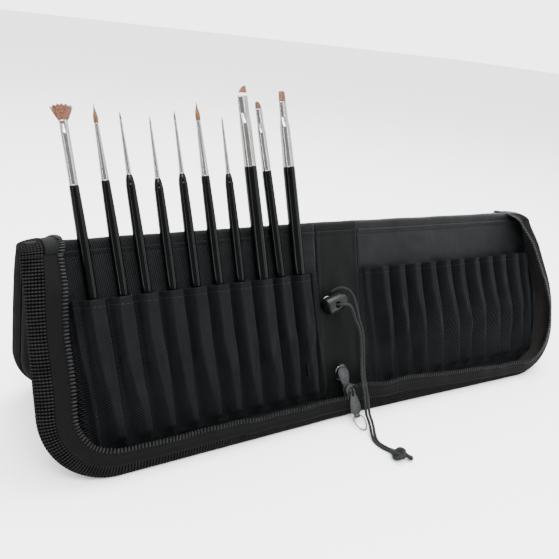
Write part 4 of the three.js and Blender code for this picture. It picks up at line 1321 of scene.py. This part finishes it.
def add_slider():
    face = spine_front
    centre = face.at(SLIDER_X, SLIDER_DOWN, SLIDER_OUT)
    x, y, n = face.x, face.up, face.out
    nose = [[-2.4, 4.5], [2.4, 4.5], [3.9, 2.6], [4.0, 0.5], [2.9, -4.0],
            [2.2, -4.5], [-2.2, -4.5], [-2.9, -4.0], [-4.0, 0.5], [-3.9, 2.6]]
    shape = spline(nose + [nose[0]], 60)[:-1]
    parts = [plate("plate", shape, (centre + n * s * 1.6, x, y, n), 1.0, 0.3) for s in (1, -1)]
    parts.append(plate("post", circle_points(1.1, 20, (0, 2.3), 1.5), (centre, x, y, n), 3.4, 0.1))
    for s in (1, -1):
        angle = np.linspace(math.pi, 0, 20)
        arch = [centre + y * -2.2 + n * s * 1.7]
        arch += [centre + y * 2.2 * math.cos(a) + n * s * (3.2 + 2.2 * math.sin(a)) for a in angle]
        arch.append(centre + y * 2.2 + n * s * 1.7)
        parts.append(tube("bridge", spline(arch, 50), 0.6, 12))
    piece = joined("slider", parts)
    piece.data.shade_smooth()
    mark_sharp(piece, 50)
    finish(piece, "enamel", "front_spine", ["zipper_slider"])


def pull_axes(which):
    """Origin of the tab's hinge, and the tab's x, y and normal."""
    hinge = JOINTS[f"{which}_pull_swing"]
    loop = JOINTS[f"{which}_loop_swing"]
    start = np.array(hinge["pos_m"]) / MM
    far = np.array(loop["pos_m"]) / MM
    x = unit(loop["axis"])
    y = unit(far - start)
    return start, x, y, np.cross(x, y), far


LOOP_TURN = {"lower": 0.55, "upper": -2.51}  # radians from the tab's own line


def add_pull(which):
    start, x, y, n, far = pull_axes(which)
    half = [[0, 0.4], [1.2, 0.75], [1.9, 1.9], [2.9, 4.6], [3.9, 8.2], [4.25, 11.2], [3.7, 13.6], [2.0, 15.4],
            [1.7, 16.9], [0, 17.2]]
    right = spline(half, 46)
    outline = np.vstack([right, right[1:-1][::-1] * [-1, 1]])
    eye = circle_points(1.05, 24, (0, 2.2))
    tab = plate("tab", outline, (start, x, y, n), 1.35, 0.4, [eye])
    oval = [[0, 5.6], [1.8, 6.6], [2.7, 9.6], [2.8, 11.6], [0, 13.6],
            [-2.8, 11.6], [-2.7, 9.6], [-1.8, 6.6], [0, 5.6]]
    inset = plate("inset", spline(oval, 50)[:-1], (start, x, y, n), 1.75, 0.35)
    barrel = [[0, 0.75], [0, 1.25], [0.3, 1.5], [3.3, 1.5], [3.6, 1.25], [3.6, 0.75]]
    knuckle = lathe("knuckle", far - x * 1.8, x, barrel, 28, closed=True)
    piece = joined(f"{which}_tab", [tab, inset, knuckle])
    piece.data.shade_smooth()
    mark_sharp(piece, 50)
    finish(piece, "enamel", f"{which}_pull", [f"{which}_pull_tab"])
    turn = LOOP_TURN[which]
    reach = math.cos(turn) * y + math.sin(turn) * n
    side = [[1.1, 0], [2.3, 0.05], [3.7, 1.4], [4.2, 4], [3.7, 7.2], [2.1, 9.8]]
    route = [[0, 0], *side, [0, 11], *[[-a, b] for a, b in reversed(side)], [0, 0]]
    line = spline(route, 120)[:-1]
    ring = tube(f"{which}_loop", far + line[:, :1] * x + line[:, 1:] * reach, 0.45, 12, closed=True)
    finish(ring, "steel", f"{which}_loop", [f"{which}_pull_loop"])


add_slider()
add_pull("lower")
add_pull("upper")


# ---- stage ---------------------------------------------------------------------------------------
FLOOR_HALF = 12.0  # metres, as everything below
LIGHT_TARGET = (0, 0, 0.08)
LIGHTS = (  # name, place, size, watts
    ("key", (-0.35, -0.75, 1.25), (0.8, 0.6), 44),
    ("top", (0.25, 0.3, 1.3), (0.9, 0.9), 30),
    ("left_strip", (-1.15, -0.55, 0.5), (0.07, 1.3), 8),
    ("right_strip", (0.75, -1.25, 0.55), (0.06, 1.3), 7),
)
SKY_BRIGHT_SIDE = (-0.53, -0.848, 0.0)
SKY_STOPS = ((-0.1, 1.0), (0.6, 0.22))  # place on the gradient and grey level
SKY_STRENGTH = 4.2


def add_floor():
    h = FLOOR_HALF
    mesh = bpy.data.meshes.new("floor")
    mesh.from_pydata([(-h, -h, 0), (h, -h, 0), (h, h, 0), (-h, h, 0)], [], [(0, 1, 2, 3)])
    floor = add_object("floor", mesh)
    pale = bpy.data.materials.new("pale_floor")
    pale.use_nodes = True
    surface = pale.node_tree.nodes["Principled BSDF"]
    surface.inputs["Base Color"].default_value = (0.84, 0.84, 0.84, 1)
    surface.inputs["Roughness"].default_value = 0.9
    mesh.materials.append(pale)


def add_sky():
    world = bpy.data.worlds.new("studio")
    world.use_nodes = True
    tree = world.node_tree
    direction = tree.nodes.new("ShaderNodeTexCoord").outputs["Generated"]
    dot = tree.nodes.new("ShaderNodeVectorMath")
    dot.operation = "DOT_PRODUCT"
    dot.inputs[1].default_value = SKY_BRIGHT_SIDE
    ramp = tree.nodes.new("ShaderNodeValToRGB")
    for stop, (at, level) in zip(ramp.color_ramp.elements, SKY_STOPS):
        stop.position = at
        stop.color = (level, level, level, 1)
    tree.links.new(direction, dot.inputs[0])
    tree.links.new(dot.outputs["Value"], ramp.inputs[0])
    tree.links.new(ramp.outputs[0], tree.nodes["Background"].inputs["Color"])
    tree.nodes["Background"].inputs["Strength"].default_value = SKY_STRENGTH
    bpy.context.scene.world = world


def add_lights():
    for name, at, size, power in LIGHTS:
        data = bpy.data.lights.new(name, "AREA")
        data.shape = "RECTANGLE"
        data.size, data.size_y = size
        data.energy = power
        lamp = add_object(name, data)
        lamp.location = at
        lamp.rotation_euler = (Vector(LIGHT_TARGET) - Vector(at)).to_track_quat("-Z", "Y").to_euler()


add_floor()
add_sky()
add_lights()
